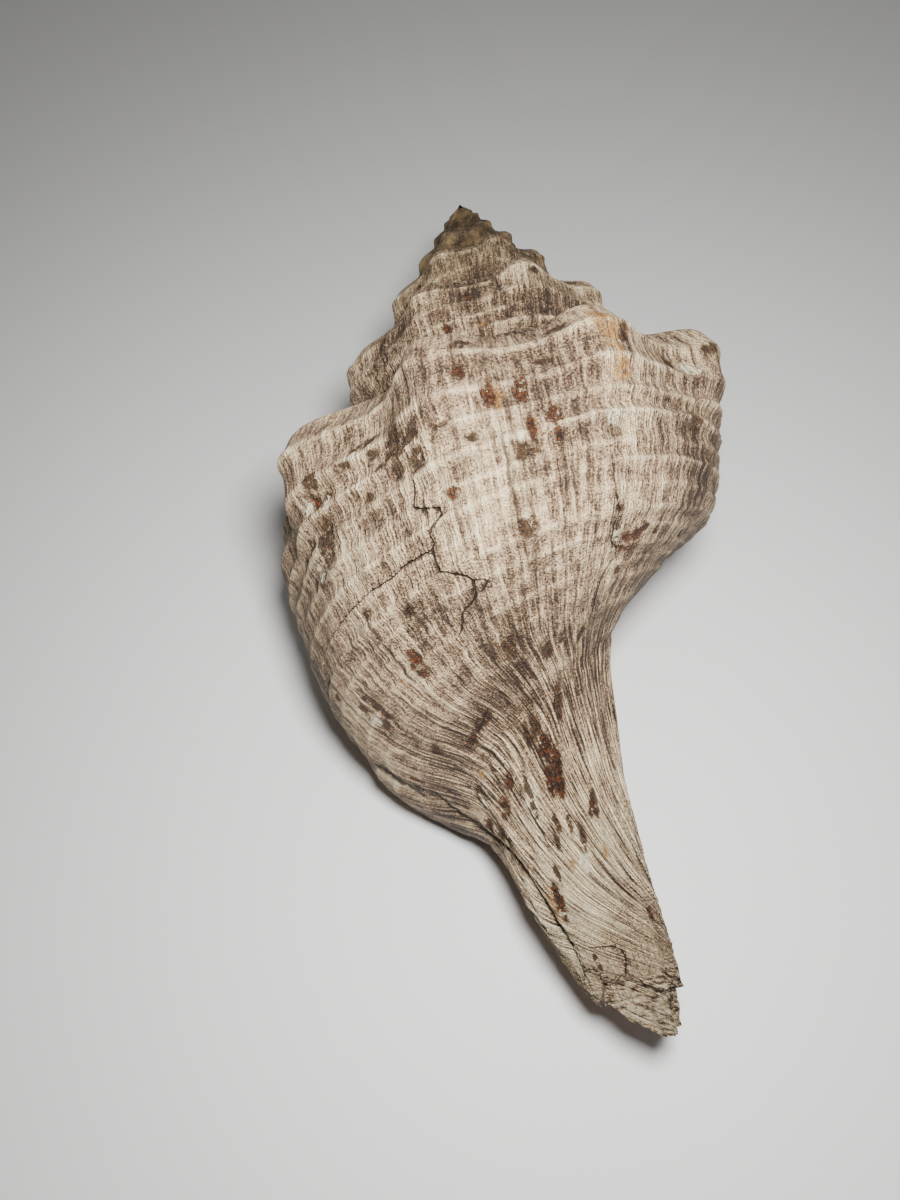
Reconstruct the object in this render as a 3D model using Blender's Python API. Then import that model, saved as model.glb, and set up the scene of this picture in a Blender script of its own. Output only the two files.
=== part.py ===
"""Spindle shell: a large, knobbed, right-handed seashell lying on its mouth.

The outside is one surface of growth. A growing edge, from the seam with the turn before it
down to the tip of the canal, winds round the axis and shrinks by the same share in each turn
back. Every point of it has two numbers: u, the turns of growth, 0 at the lip and less before
it, and v, the place along the growing edge, 0 at the seam and 1 at the canal's tip.
The mouth's hollow, the canal's bore and its slot are cut out of the solid inside that surface.
Lengths are in millimetres until the mesh is made.
"""
import math

import bpy
import numpy as np
from mathutils import Matrix, Vector

MM = 0.001

# Size and growth
LENGTH = 273.0
GROWTH = 1.570
TURNS = 7.0
LIP_ANGLE = 134.0
APEX_SHARE = 0.35

# The growing edge at the lip: v, distance from the apex along the axis, radius
EDGE = (
    (0.00, 104.5, 43.0),
    (0.06, 106.5, 51.0),
    (0.12, 114.5, 59.5),
    (0.18, 120.5, 66.0),
    (0.22, 129.5, 72.5),
    (0.28, 146.0, 76.4),
    (0.36, 159.5, 75.4),
    (0.45, 180.5, 70.4),
    (0.54, 194.0, 62.0),
    (0.63, 207.0, 50.2),
    (0.72, 222.0, 26.8),
    (0.80, 236.0, 19.0),
    (0.88, 250.0, 15.8),
    (0.95, 263.0, 12.0),
    (1.00, 273.0, 10.5),
)
# How fast each place along the edge grows: 1 winds as the body does, 0 is the straight canal
WINDING = ((0.00, 1.0), (0.45, 1.02), (0.54, 1.09), (0.63, 1.18), (0.72, 1.07), (0.80, 0.47),
           (0.88, 0.16), (0.95, 0.04), (1.00, 0.0))
# The last turn swells a little less than its growth: u, share added to the radius
SWELL = ((-8.0, 0.0), (-1.0, 0.0), (-0.75, -0.006), (-0.50, 0.030), (-0.25, -0.031), (0.0, -0.024))
SWELL_FADES = (0.42, 0.62)
# The lip turns in towards the mouth: share taken off the radius, over how many turns, fading along the edge
LIP_TURNS_IN = 0.14
LIP_TURNS_FROM = -0.12
LIP_TURN_FADES = (0.45, 0.58)
# The canal bends sideways: distance from the apex, offset
BEND = ((0.0, 0.0), (150.0, 0.0), (205.0, -2.0), (230.0, -0.2), (252.0, 4.6), (273.0, 10.1), (300.0, 22.1))

# Knobs on the shoulder of the last turn and of the turn before it: u, height
LAST_KNOBS = ((-0.03, 4.0), (-0.12, 5.0), (-0.203, 13.8), (-0.306, 14.2), (-0.413, 11.1), (-0.517, 15.0),
              (-0.60, 8.2), (-0.70, 11.0), (-0.80, 15.0), (-0.90, 14.0))
OLDER_KNOBS = ((-1.00, 11.0), (-1.09, 8.0), (-1.168, 8.8), (-1.285, 9.0), (-1.395, 9.0), (-1.519, 10.0),
               (-1.59, 9.0), (-1.69, 9.0), (-1.79, 9.0), (-1.89, 9.0))
KNOB_PLACE = 0.19
KNOB_ALONG = 0.076
KNOB_ROUND = 0.030

# Low ribs run down from the knobs: share of the knob's height, and where they rise and fade
RIB_SHARE = 0.10
RIB_RISES = (0.20, 0.27)
RIB_FADES = (0.30, 0.50)

# Spiral cords between the shoulder and the canal: the places of their crests
CORDS = (0.225, 0.267, 0.312, 0.358, 0.418, 0.487, 0.530, 0.597, 0.633, 0.703)
CORD_HEIGHT = 0.7
CORD_HALF_WIDTH = 0.012
CORD_MEAN = 0.5
CORD_EASE = 0.03

# The hollow
WALL_AT_LIP = 1.8
WALL_INSIDE = 4.5
LIP_THICKENS_IN = 0.15
GLAZE = 0.5
COLUMELLA_CARVED = 4.5
HOLLOW_START = 0.03
HOLLOW_END = -0.95
HOLLOW_TO = 242.0
HOLLOW_SECTIONS = 22
SECTION_POINTS = 12
PROFILE_STEPS = 400
INNERMOST = 7.0
NARROWEST = 1.0
CARVED_FROM = 0.60
CARVED_OVER = (0.12, 25.0)
BORE_RADIUS = 7.2
BORE_SIDES = 12
BORE_OFF_AXIS = 4.0
BORE_FROM = 212.0
BORE_PAST_TIP = 12.0
SLOT_WIDTH = 5.0
SLOT_REACH = 34.0
SLOT_FROM = 214.0
SLOT_PAST_TIP = 9.0
SLOT_ANGLES = (126.0, 108.0)

# The outer layer is lost past a jagged edge near the tip, and the tip is broken off at a slant:
# u, v of the two edges
LAYER_EDGE = ((-1.0, 0.955), (-0.60, 0.955), (-0.50, 0.950), (-0.41, 0.947), (-0.375, 0.938), (-0.335, 0.926),
              (-0.28, 0.934), (-0.24, 0.930), (-0.20, 0.945), (-0.10, 0.950), (0.0, 0.955))
LAYER_STEP = 1.4
LAYER_OUT = 45.0
TIP_EDGE = ((-1.0, 0.955), (-0.90, 0.975), (-0.75, 0.992), (-0.60, 0.995), (-0.44, 0.998), (-0.38, 0.996),
            (-0.335, 0.986), (-0.285, 0.976), (-0.24, 0.966), (-0.19, 0.948), (-0.10, 0.945), (0.0, 0.955))
TIP_RINGS = ((40.0, 0.0), (9.0, 0.15), (0.5, 1.0))
TIP_CLEAR = 20.0

# How it lies: the axis rises towards the apex, and the shell is turned a little round its axis
AXIS_LIFT = 8.41
AXIS_SPIN = 4.53
PLACE = (5.362, 135.685, 66.908)

# Mesh
COLUMNS = 58
CANAL_SECTIONS = 9
SEAM_CLEAR = 0.008
SEAM_ROWS = ((8, 1), (6, 2), (5, 3), (4, 4), (3, 5), (2, 6))
BODY_ROWS = ((0.0, 0.04, 0.08, 0.12, 0.16, 0.19), (0.735, 0.77, 0.80, 0.84, 0.88, 0.92, 0.96, 1.0))


def smooth_curve(pairs):
    """A smooth curve through the pairs that never swings past them."""
    points = np.array(pairs, float)
    x, y = points[:, 0], points[:, 1]
    gap = np.diff(x)
    rise = np.diff(y) / gap
    slope = np.zeros(len(x))
    slope[0], slope[-1] = rise[0], rise[-1]
    for k in range(1, len(x) - 1):
        if rise[k - 1] * rise[k] > 0:
            before = 2 * gap[k] + gap[k - 1]
            after = gap[k] + 2 * gap[k - 1]
            slope[k] = (before + after) / (before / rise[k - 1] + after / rise[k])

    def value(at):
        at = np.clip(at, x[0], x[-1])
        k = np.clip(np.searchsorted(x, at, side="right") - 1, 0, len(gap) - 1)
        t = (at - x[k]) / gap[k]
        left = (1 + 2 * t) * (1 - t) ** 2 * y[k] + t * (1 - t) ** 2 * gap[k] * slope[k]
        right = t * t * (3 - 2 * t) * y[k + 1] + t * t * (t - 1) * gap[k] * slope[k + 1]
        return left + right

    return value


edge_distance = smooth_curve([(v, a) for v, a, r in EDGE])
edge_radius = smooth_curve([(v, r) for v, a, r in EDGE])
winding = smooth_curve(WINDING)
swell = smooth_curve(SWELL)
bend = smooth_curve(BEND)


def ramp(value, low, high):
    t = np.clip((value - low) / (high - low), 0, 1)
    return t * t * (3 - 2 * t)


def knobs():
    """Every knob of the shell: u, height. Turns before the last two repeat the older row."""
    found = list(LAST_KNOBS)
    for turn in range(int(TURNS)):
        found += [(u - turn, height) for u, height in OLDER_KNOBS]
    return found


ALL_KNOBS = knobs()


def knob_relief(u, v):
    height = sum(h * np.exp(-((u - at) / KNOB_ROUND) ** 2) for at, h in ALL_KNOBS)
    return height * np.exp(-((v - KNOB_PLACE) / KNOB_ALONG) ** 2)


def rib_relief(u, v):
    height = sum(h * np.exp(-((u - at) / KNOB_ROUND) ** 2) for at, h in ALL_KNOBS)
    return RIB_SHARE * height * ramp(v, *RIB_RISES) * (1 - ramp(v, *RIB_FADES))


def cord_relief(v):
    inside = ramp(v, CORDS[0] - CORD_EASE, CORDS[0]) * (1 - ramp(v, CORDS[-1], CORDS[-1] + CORD_EASE))
    crests = sum(np.exp(-((v - at) / CORD_HALF_WIDTH) ** 2) for at in CORDS)
    return CORD_HEIGHT * inside * (crests - CORD_MEAN)


def plain_radius(u, v):
    """Radius of the surface without knobs and cords."""
    share = 1 + swell(u) * (1 - ramp(v, *SWELL_FADES))
    share = share - LIP_TURNS_IN * ramp(u, LIP_TURNS_FROM, 0.0) * (1 - ramp(v, *LIP_TURN_FADES))
    return GROWTH ** (u * winding(v)) * edge_radius(v) * share


def distance(u, v):
    return GROWTH ** (u * winding(v)) * edge_distance(v)


def angle(u):
    return math.radians(LIP_ANGLE) - 2 * math.pi * u


def place(turn_angle, a, r):
    """A point from its angle round the axis, distance from the apex and radius."""
    return np.array([r * math.cos(turn_angle) + bend(a), r * math.sin(turn_angle), -a])


def outside(u, v):
    scale = GROWTH ** (u * winding(v))
    r = plain_radius(u, v) + scale * (knob_relief(u, v) + rib_relief(u, v) + cord_relief(v))
    return place(angle(u), distance(u, v), r)


def seam_place():
    """v at which the next turn's seam lies on this turn."""
    v = np.linspace(0, 0.6, 2401)
    return float(v[np.argmin(abs(edge_distance(v) - GROWTH * edge_distance(0.0)))])


def column_steps():
    """Growth steps of one turn, from 0 to just above -1, with a column through each knob."""
    marks = [0.0] + [u for u, height in LAST_KNOBS] + [-1.0]
    steps = []
    for start, end in zip(marks, marks[1:]):
        count = max(1, round((start - end) * COLUMNS))
        steps += [start + (end - start) * k / count for k in range(count)]
    return steps


def body_rows():
    """v of each row of the last turn, with one on every cord and one between cords."""
    valleys = [(low + high) / 2 for low, high in zip(CORDS, CORDS[1:])]
    return sorted(BODY_ROWS[0] + CORDS + tuple(valleys) + BODY_ROWS[1])


def spire_rows(turn, seam):
    """v of each row of an earlier turn, the seam itself left out."""
    count = dict((t, n) for n, t in SEAM_ROWS).get(turn, 2)
    return [seam * k / count for k in range(count)]


def mesh_object(name, vertices, faces, collection):
    mesh = bpy.data.meshes.new(name)
    mesh.from_pydata([tuple(p) for p in vertices], [], faces)
    mesh.validate()
    made = bpy.data.objects.new(name, mesh)
    collection.objects.link(made)
    bpy.context.view_layer.objects.active = made
    bpy.ops.object.select_all(action="DESELECT")
    made.select_set(True)
    bpy.ops.object.mode_set(mode="EDIT")
    bpy.ops.mesh.select_all(action="SELECT")
    bpy.ops.mesh.normals_make_consistent(inside=False)
    bpy.ops.object.mode_set(mode="OBJECT")
    return made


def zip_runs(left, right):
    """Triangles between two runs of (place, vertex), stepping along both by place."""
    faces = []
    i = j = 0
    while i < len(left) - 1 or j < len(right) - 1:
        left_next = left[i + 1][0] if i < len(left) - 1 else math.inf
        right_next = right[j + 1][0] if j < len(right) - 1 else math.inf
        if left_next <= right_next:
            corner = left[i + 1][1]
            i += 1
            face = (left[i - 1][1], corner, right[j][1])
        else:
            corner = right[j + 1][1]
            j += 1
            face = (left[i][1], corner, right[j - 1][1])
        if len(set(face)) == 3:
            faces.append(face)
    return faces


def solid_of_growth(collection):
    """The closed solid inside the outer surface, with a flat wall at the lip."""
    steps = column_steps()
    per_turn = len(steps)
    seam = seam_place()
    last = int(TURNS * per_turn)
    vertices = []
    columns = []

    def add(point):
        vertices.append(point * MM)
        return len(vertices) - 1

    for i in range(last + 1):
        u = steps[i % per_turn] - i // per_turn
        if i < per_turn:
            run = [[v, None] for v in body_rows()]
        elif i == per_turn:
            run = [[v, None] for v in body_rows() if abs(v - seam) > SEAM_CLEAR] + [[seam, None]]
            run.sort()
        else:
            turn = (i - 1) // per_turn
            run = [[v, None] for v in spire_rows(turn, seam)]
        for place_and_vertex in run:
            v = place_and_vertex[0]
            on_seam = i == per_turn and v == seam
            at_tip = i == per_turn and v == 1.0
            if not on_seam and not at_tip:
                place_and_vertex[1] = add(outside(u, v))
        columns.append(run)
    for i in range(per_turn, last + 1):
        above = columns[i - per_turn][0][1]
        if i == per_turn:
            for place_and_vertex in columns[i]:
                if place_and_vertex[0] == seam:
                    place_and_vertex[1] = above
            columns[i][-1][1] = columns[0][-1][1]
        else:
            columns[i].append([seam, above])

    faces = []
    for i in range(last):
        later, earlier = columns[i], columns[i + 1]
        if i == per_turn:
            later = [pair for pair in later if pair[0] <= seam]
        faces += zip_runs(later, earlier)
    lip = [[float(distance(0.0, v)), vertex] for v, vertex in columns[0]]
    inner = [[float(distance(-1.0, v)), vertex] for v, vertex in columns[per_turn] if v >= seam]
    faces += zip_runs(inner, lip)

    tip_ring = [columns[i][-1][1] for i in range(per_turn + 1)]
    tip = add(place(0.0, LENGTH + 1.0, 0.0))
    faces += [(tip, a, b) for a, b in zip(tip_ring, tip_ring[1:])]
    apex_ring = [columns[i][0][1] for i in range(last - per_turn, last + 1)]
    apex_ring += [vertex for v, vertex in columns[last][1:]]
    apex_at = float(distance(steps[last % per_turn] - last // per_turn, 0.0))
    apex = add(place(0.0, apex_at * APEX_SHARE, 0.0))
    faces += [(apex, a, b) for a, b in zip(apex_ring, apex_ring[1:])]
    return mesh_object("shell", vertices, faces, collection)


def radius_profile(u, a):
    """Plain radius at growth step u, read at distances a from the apex."""
    v = np.linspace(0, 1, 401)
    along = np.maximum.accumulate(distance(u, v) + v * 1e-3)
    return np.interp(a, along, plain_radius(u, v))


def hollow_section(u):
    """One section of the hollow, across the growth, as (a, r) pairs round its outline."""
    at_edge = min(u, 0.0)
    a = np.linspace(float(distance(at_edge, 0.0)), HOLLOW_TO, PROFILE_STEPS)
    outer = radius_profile(at_edge, a)
    slope = np.gradient(outer, a)
    wall = WALL_AT_LIP + (WALL_INSIDE - WALL_AT_LIP) * ramp(-u, 0.0, LIP_THICKENS_IN)
    outer = outer - wall * np.sqrt(1 + np.clip(slope, -3, 3) ** 2)
    inner = radius_profile(u - 1.0, a)
    base = float(distance(u - 1.0, CARVED_FROM))
    carved = ramp(-u, 0.0, CARVED_OVER[0]) * ramp(a, base, base + CARVED_OVER[1])
    inner = np.maximum(inner + GLAZE - COLUMELLA_CARVED * carved, INNERMOST)
    open_here = np.nonzero(outer > inner + NARROWEST)[0]
    first, last = a[open_here[0]], a[open_here[-1]]
    t = (1 - np.cos(np.linspace(0, math.pi, SECTION_POINTS))) / 2
    along = first + (last - first) * t
    pairs = [(x, y) for x, y in zip(along, np.interp(along, a, outer))]
    pairs += [(x, y) for x, y in zip(along[::-1], np.interp(along[::-1], a, inner))]
    return pairs


def loft(name, sections, collection, closed=False):
    """A solid through sections of as many points each: capped at both ends, or closed in a ring."""
    count = len(sections[0])
    steps = len(sections)
    vertices = [point * MM for section in sections for point in section]
    faces = []
    for k in range(steps if closed else steps - 1):
        here, there = k * count, (k + 1) % steps * count
        for n in range(count):
            m = (n + 1) % count
            faces.append((here + n, here + m, there + m, there + n))
    if not closed:
        faces.append(tuple(range(count - 1, -1, -1)))
        faces.append(tuple(range(len(vertices) - count, len(vertices))))
    return mesh_object(name, vertices, faces, collection)


def hollow(collection):
    """The space inside the last turn, from just outside the lip back into the shell."""
    sections = []
    for k in range(HOLLOW_SECTIONS):
        u = HOLLOW_START + (HOLLOW_END - HOLLOW_START) * k / (HOLLOW_SECTIONS - 1)
        sections.append([place(angle(u), a, r) for a, r in hollow_section(u)])
    return loft("hollow", sections, collection)


def slot_angle(a):
    t = np.clip((a - SLOT_FROM) / (LENGTH - SLOT_FROM), 0, 1)
    return math.radians(SLOT_ANGLES[0] + (SLOT_ANGLES[1] - SLOT_ANGLES[0]) * t)


def canal_bore(collection):
    """The bore of the canal, from the hollow out through the tip."""
    sections = []
    turns = np.linspace(0, 2 * math.pi, BORE_SIDES, endpoint=False)
    for a in np.linspace(BORE_FROM, LENGTH + BORE_PAST_TIP, CANAL_SECTIONS):
        centre = place(slot_angle(a), a, BORE_OFF_AXIS)
        sections.append([centre + BORE_RADIUS * np.array([math.cos(t), math.sin(t), 0]) for t in turns])
    return loft("canal_bore", sections, collection)


def canal_slot(collection):
    """The long slot that opens the canal along its underside."""
    sections = []
    for a in np.linspace(SLOT_FROM, LENGTH + SLOT_PAST_TIP, CANAL_SECTIONS):
        out = slot_angle(a)
        side = np.array([-math.sin(out), math.cos(out), 0]) * SLOT_WIDTH / 2
        near = place(out, a, BORE_OFF_AXIS)
        far = place(out, a, SLOT_REACH)
        sections.append([near - side, far - side, far + side, near + side])
    return loft("canal_slot", sections, collection)


def lost_layer(collection):
    """What the outer layer has lost at the tip: a ring outside the layer below."""
    sections = []
    for u, v in LAYER_EDGE[:-1]:
        below = [point_inside(u, v), point_inside(u, (v + 1.0) / 2), point_inside(u, 1.0)]
        last = below[-1] + np.array([0.0, 0.0, -SLOT_PAST_TIP])
        far = place(angle(u), LENGTH + SLOT_PAST_TIP, LAYER_OUT)
        near = place(angle(u), float(distance(u, v)), LAYER_OUT)
        sections.append(below + [last, far, near])
    return loft("lost_layer", sections, collection, closed=True)


def point_inside(u, v):
    """A point of the layer below the outer one."""
    out = np.array([math.cos(angle(u)), math.sin(angle(u)), 0.0])
    return outside(u, v) - LAYER_STEP * out


def tip_break(collection):
    """What is missing from the tip: everything past a slanting edge."""
    edge = [(u, float(distance(u, v))) for u, v in TIP_EDGE[:-1]]
    middle = sum(a for u, a in edge) / len(edge)
    sections = [[place(angle(u), LENGTH + TIP_CLEAR, TIP_RINGS[0][0]) for u, a in edge]]
    for r, pull in TIP_RINGS:
        sections.append([place(angle(u), a * (1 - pull) + middle * pull, r) for u, a in edge])
    return loft("tip_break", sections, collection)


def cut(target, cutter):
    cutter.hide_render = True
    cutter.display_type = "WIRE"
    modifier = target.modifiers.new(cutter.name, "BOOLEAN")
    modifier.operation = "DIFFERENCE"
    modifier.solver = "EXACT"
    modifier.object = cutter


def lay_down(thing):
    """Turn a mesh from the shell's own frame to the way it lies, and move it to its place."""
    spin = Matrix.Rotation(math.radians(AXIS_SPIN), 4, "Z")
    lift = Matrix.Rotation(math.radians(AXIS_LIFT - 90.0), 4, "X")
    shift = Matrix.Translation(Vector(PLACE) * MM)
    thing.data.transform(shift @ lift @ spin)


def floor_cutter(collection):
    """A block below the surface that the shell lies on: it wears tiny flats where it rests."""
    bpy.ops.mesh.primitive_cube_add(size=1.0, location=(0.0, 0.0, -0.05))
    block = bpy.context.object
    block.name = "worn_flat"
    block.data.transform(Matrix.Diagonal((0.6, 0.6, 0.1, 1.0)))
    for owner in list(block.users_collection):
        owner.objects.unlink(block)
    collection.objects.link(block)
    return block


def shell_material():
    material = bpy.data.materials.new("chalky_shell")
    material.use_nodes = True
    surface = material.node_tree.nodes["Principled BSDF"]
    surface.inputs["Base Color"].default_value = (0.58, 0.52, 0.43, 1.0)
    surface.inputs["Roughness"].default_value = 0.6
    surface.inputs["Metallic"].default_value = 0.0
    return material


def main():
    for thing in list(bpy.data.objects):
        bpy.data.objects.remove(thing, do_unlink=True)
    parts = bpy.data.collections.new("spindle_shell")
    cutters = bpy.data.collections.new("cutters")
    bpy.context.scene.collection.children.link(parts)
    bpy.context.scene.collection.children.link(cutters)

    shell = solid_of_growth(parts)
    shell.data.materials.append(shell_material())
    tools = [make(cutters) for make in (lost_layer, tip_break, canal_slot, canal_bore, hollow)]
    for thing in [shell] + tools:
        lay_down(thing)
    for tool in tools + [floor_cutter(cutters)]:
        cut(shell, tool)


main()
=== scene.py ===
"""The looks of a large knobbed spindle shell that lies on its mouth.

The shell's surface is one surface of growth, the same as the solid's, drawn here with fine relief.
Every point of it has two numbers: u, the turns of growth, 0 at the lip and less before it, and v,
the place along the growing edge, 0 at the seam and 1 at the canal's tip.
"""
import math

import bpy
import numpy as np
from mathutils import Matrix, Vector


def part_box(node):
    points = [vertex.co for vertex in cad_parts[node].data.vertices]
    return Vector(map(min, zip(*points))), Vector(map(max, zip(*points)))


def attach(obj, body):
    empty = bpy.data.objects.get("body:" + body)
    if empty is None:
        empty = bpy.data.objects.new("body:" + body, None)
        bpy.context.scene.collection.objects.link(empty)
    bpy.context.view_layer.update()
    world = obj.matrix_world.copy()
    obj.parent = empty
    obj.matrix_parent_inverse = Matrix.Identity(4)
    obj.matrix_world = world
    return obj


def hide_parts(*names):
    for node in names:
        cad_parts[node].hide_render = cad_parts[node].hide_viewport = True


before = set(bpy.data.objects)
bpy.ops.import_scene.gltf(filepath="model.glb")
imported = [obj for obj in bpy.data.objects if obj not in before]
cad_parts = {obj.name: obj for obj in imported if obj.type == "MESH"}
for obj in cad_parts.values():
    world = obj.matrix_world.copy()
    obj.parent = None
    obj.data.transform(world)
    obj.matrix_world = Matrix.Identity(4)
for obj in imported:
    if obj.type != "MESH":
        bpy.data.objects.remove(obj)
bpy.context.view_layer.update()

MM = 0.001

# Size and growth, as the solid's
LENGTH = 273.0
GROWTH = 1.570
TURNS = 7.0
LIP_ANGLE = 134.0
EDGE = (
    (0.00, 104.5, 43.0),
    (0.06, 106.5, 51.0),
    (0.12, 114.5, 59.5),
    (0.18, 120.5, 66.0),
    (0.22, 129.5, 72.5),
    (0.28, 146.0, 76.4),
    (0.36, 159.5, 75.4),
    (0.45, 180.5, 70.4),
    (0.54, 194.0, 62.0),
    (0.63, 207.0, 50.2),
    (0.72, 222.0, 26.8),
    (0.80, 236.0, 19.0),
    (0.88, 250.0, 15.8),
    (0.95, 263.0, 12.0),
    (1.00, 273.0, 10.5),
)
WINDING = ((0.00, 1.0), (0.45, 1.02), (0.54, 1.09), (0.63, 1.18), (0.72, 1.07), (0.80, 0.47),
           (0.88, 0.16), (0.95, 0.04), (1.00, 0.0))
SWELL = ((-8.0, 0.0), (-1.0, 0.0), (-0.75, -0.006), (-0.50, 0.030), (-0.25, -0.031), (0.0, -0.024))
SWELL_FADES = (0.42, 0.62)
LIP_TURNS_IN = 0.14
LIP_TURNS_FROM = -0.12
LIP_TURN_FADES = (0.45, 0.58)
BEND = ((0.0, 0.0), (150.0, 0.0), (205.0, -2.0), (230.0, -0.2), (252.0, 4.6), (273.0, 10.1), (300.0, 22.1))
LAST_KNOBS = ((-0.03, 4.0), (-0.12, 5.0), (-0.203, 13.8), (-0.306, 14.2), (-0.413, 11.1), (-0.517, 15.0),
              (-0.60, 8.2), (-0.70, 11.0), (-0.80, 15.0), (-0.90, 14.0))
OLDER_KNOBS = ((-1.00, 11.0), (-1.09, 8.0), (-1.168, 8.8), (-1.285, 11.0), (-1.398, 13.0), (-1.519, 10.0),
               (-1.59, 9.0), (-1.69, 9.0), (-1.79, 9.0), (-1.89, 9.0))
KNOB_PLACE = 0.19
KNOB_ALONG = (0.060, 0.082)
KNOB_ROUND = (0.035, 0.023)

# How it lies
AXIS_LIFT = 8.41
AXIS_SPIN = 4.53
PLACE = (5.362, 135.685, 66.908)

# Spiral cords: v, height, and half width as a share of the edge
CORDS = (
    (0.225, 0.9, 0.010), (0.267, 0.8, 0.009), (0.312, 1.0, 0.010), (0.358, 1.0, 0.010), (0.392, 0.6, 0.008),
    (0.418, 0.8, 0.008), (0.450, 0.5, 0.007), (0.487, 0.8, 0.009), (0.530, 0.6, 0.008), (0.565, 0.4, 0.008),
    (0.597, 0.7, 0.009), (0.633, 0.5, 0.008), (0.662, 0.4, 0.008), (0.703, 0.4, 0.009), (0.728, 0.3, 0.008),
)

CORD_MEAN = 0.6
CORD_SHARE = 1.6
# How far a cord strays from its place, how often in a turn, and the shift from cord to cord
CORD_WANDER = 0.004
WANDER_WAVES = 9
WANDER_SHIFT = 7.3
# A cord's uneven height: share, waves in a turn, shift from cord to cord, seed
CORD_ROUGH = ((0.35, 70, 3.1, 6), (0.25, 200, 5.7, 7))
# The cords are worn towards the lip: how much, and between which u and v it sets in
WORN_CORDS = 0.6
WORN_TURNS = (-0.27, -0.12)
WORN_PLACES = (0.25, 0.40)
RIB_SHARE = 0.15
RIB_RISES = (0.20, 0.27)
RIB_FADES = (0.30, 0.50)
KEEL = 1.3
KEEL_PLACE = 0.175
KEEL_HALF_WIDTH = 0.018

# Uneven surfaces, by layers of noise: height, waves across and along, seed
GRAIN = ((0.5, 150, 14, 22), (0.35, 330, 22, 23), (0.25, 60, 6, 24))
LUMPS = ((0.55, 22, 13, 31), (0.30, 55, 30, 32), (0.10, 160, 90, 33))
STRATA = ((0.30, 14, 110, 41), (0.18, 30, 260, 42))
RAGGED_TIP = ((0.35, 60, 1, 51), (0.2, 140, 1, 52))
RAGGED_LIP = ((0.6, 36, 1, 61), (0.6, 110, 1, 62))
LIP_RAGGED = 0.010
MOTTLE = ((1.3, 26, 9, 91), (0.7, 70, 16, 92))
# Growth lines: how they stray, how wide and deep they are, and the depth of the grain, with what the lower
# half of the turn and the canal add to it
LINE_WANDER = 0.004
LINE_WIDTH = 0.42
LINE_DEPTH = 1.3
LINES_SET_IN = (0.40, 0.75)
GRAIN_DEPTH = 0.14
LOWER_HALF = (0.40, 0.60)
LOWER_GRAIN = 0.14
CANAL = (0.62, 0.80)
CANAL_GRAIN = 0.36

# The groove inside the lip, with the flange in front of it
GROOVE_HALF_WIDTH = 0.010
GROOVE_WIDENS_BY = 0.012
GROOVE_WIDENS = (0.72, 0.85)
GROOVE_DEPTH = 1.9
GROOVE_STARTS = (0.52, 0.62)
GROOVE_ENDS = (0.88, 0.93)
FLANGE = 0.8
FLANGE_ENDS = (0.75, 0.85)

# The hollow
WALL_AT_LIP = 1.8
WALL_INSIDE = 4.5
LIP_THICKENS_IN = 0.15
GLAZE = 0.5
COLUMELLA_CARVED = 4.5
HOLLOW_START = 0.03
HOLLOW_END = -0.95
HOLLOW_SECTIONS = 60
SECTION_POINTS = 36
BORE_RADIUS = 7.2
BORE_OFF_AXIS = 4.0
BORE_FROM = 212.0
SLOT_WIDTH = 5.0
SLOT_FROM = 214.0
SLOT_ANGLES = (126.0, 108.0)
SLOT_REACH = 34.0

# Mesh: finest on the upper side, from FINE_FROM to FINE_TO turns
FINE_FROM = -0.06
FINE_TO = -0.60
LIP_STEP = 0.0042
FINE_STEP = 0.00225
UNDER_STEP = 0.0065
MIDDLE = -0.35
SHOULDER = 0.16
SHOULDER_ROW = 1.6
FINE_ROW = 0.93
SPIRE_ROWS = (36, 22, 12, 7, 4, 3, 2)
APEX_SHARE = 0.35
BORE_SIDES = 24
CANAL_SECTIONS = 20
SMOOTH_BELOW = 55.0
GIRTH = 400.0

# The view, in millimetres and degrees, and the light, in metres and watts
CAMERA_PLACE = (-25.971, -142.560, 276.497)
CAMERA_YAW = 2.875
CAMERA_PITCH = 60.593
CAMERA_ROLL = -5.736
LENS = 27.03
SENSOR = 36.0
AIM = (0.0, 0.0, 0.05)
KEY_PLACE = (0.006, -0.102, 0.295)
KEY_SIZE = 0.06
KEY_POWER = 2.05
FILL_PLACE = (0.3, 1.1, 1.0)
FILL_SIZE = 1.2
FILL_POWER = 2.4
WORLD_STRENGTH = 0.08
FLOOR_SIZE = 6.0

REST = (Matrix.Translation(Vector(PLACE) * MM) @ Matrix.Rotation(math.radians(AXIS_LIFT - 90.0), 4, "X")
        @ Matrix.Rotation(math.radians(AXIS_SPIN), 4, "Z"))



def smooth_curve(pairs):
    """A smooth curve through the pairs that never swings past them."""
    points = np.array(pairs, float)
    x, y = points[:, 0], points[:, 1]
    gap = np.diff(x)
    rise = np.diff(y) / gap
    slope = np.zeros(len(x))
    slope[0], slope[-1] = rise[0], rise[-1]
    for k in range(1, len(x) - 1):
        if rise[k - 1] * rise[k] > 0:
            before = 2 * gap[k] + gap[k - 1]
            after = gap[k] + 2 * gap[k - 1]
            slope[k] = (before + after) / (before / rise[k - 1] + after / rise[k])

    def value(at):
        at = np.clip(at, x[0], x[-1])
        k = np.clip(np.searchsorted(x, at, side="right") - 1, 0, len(gap) - 1)
        t = (at - x[k]) / gap[k]
        left = (1 + 2 * t) * (1 - t) ** 2 * y[k] + t * (1 - t) ** 2 * gap[k] * slope[k]
        right = t * t * (3 - 2 * t) * y[k + 1] + t * t * (t - 1) * gap[k] * slope[k + 1]
        return left + right

    return value


edge_distance = smooth_curve([(v, a) for v, a, r in EDGE])
edge_radius = smooth_curve([(v, r) for v, a, r in EDGE])
winding = smooth_curve(WINDING)
swell = smooth_curve(SWELL)
bend = smooth_curve(BEND)

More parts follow.
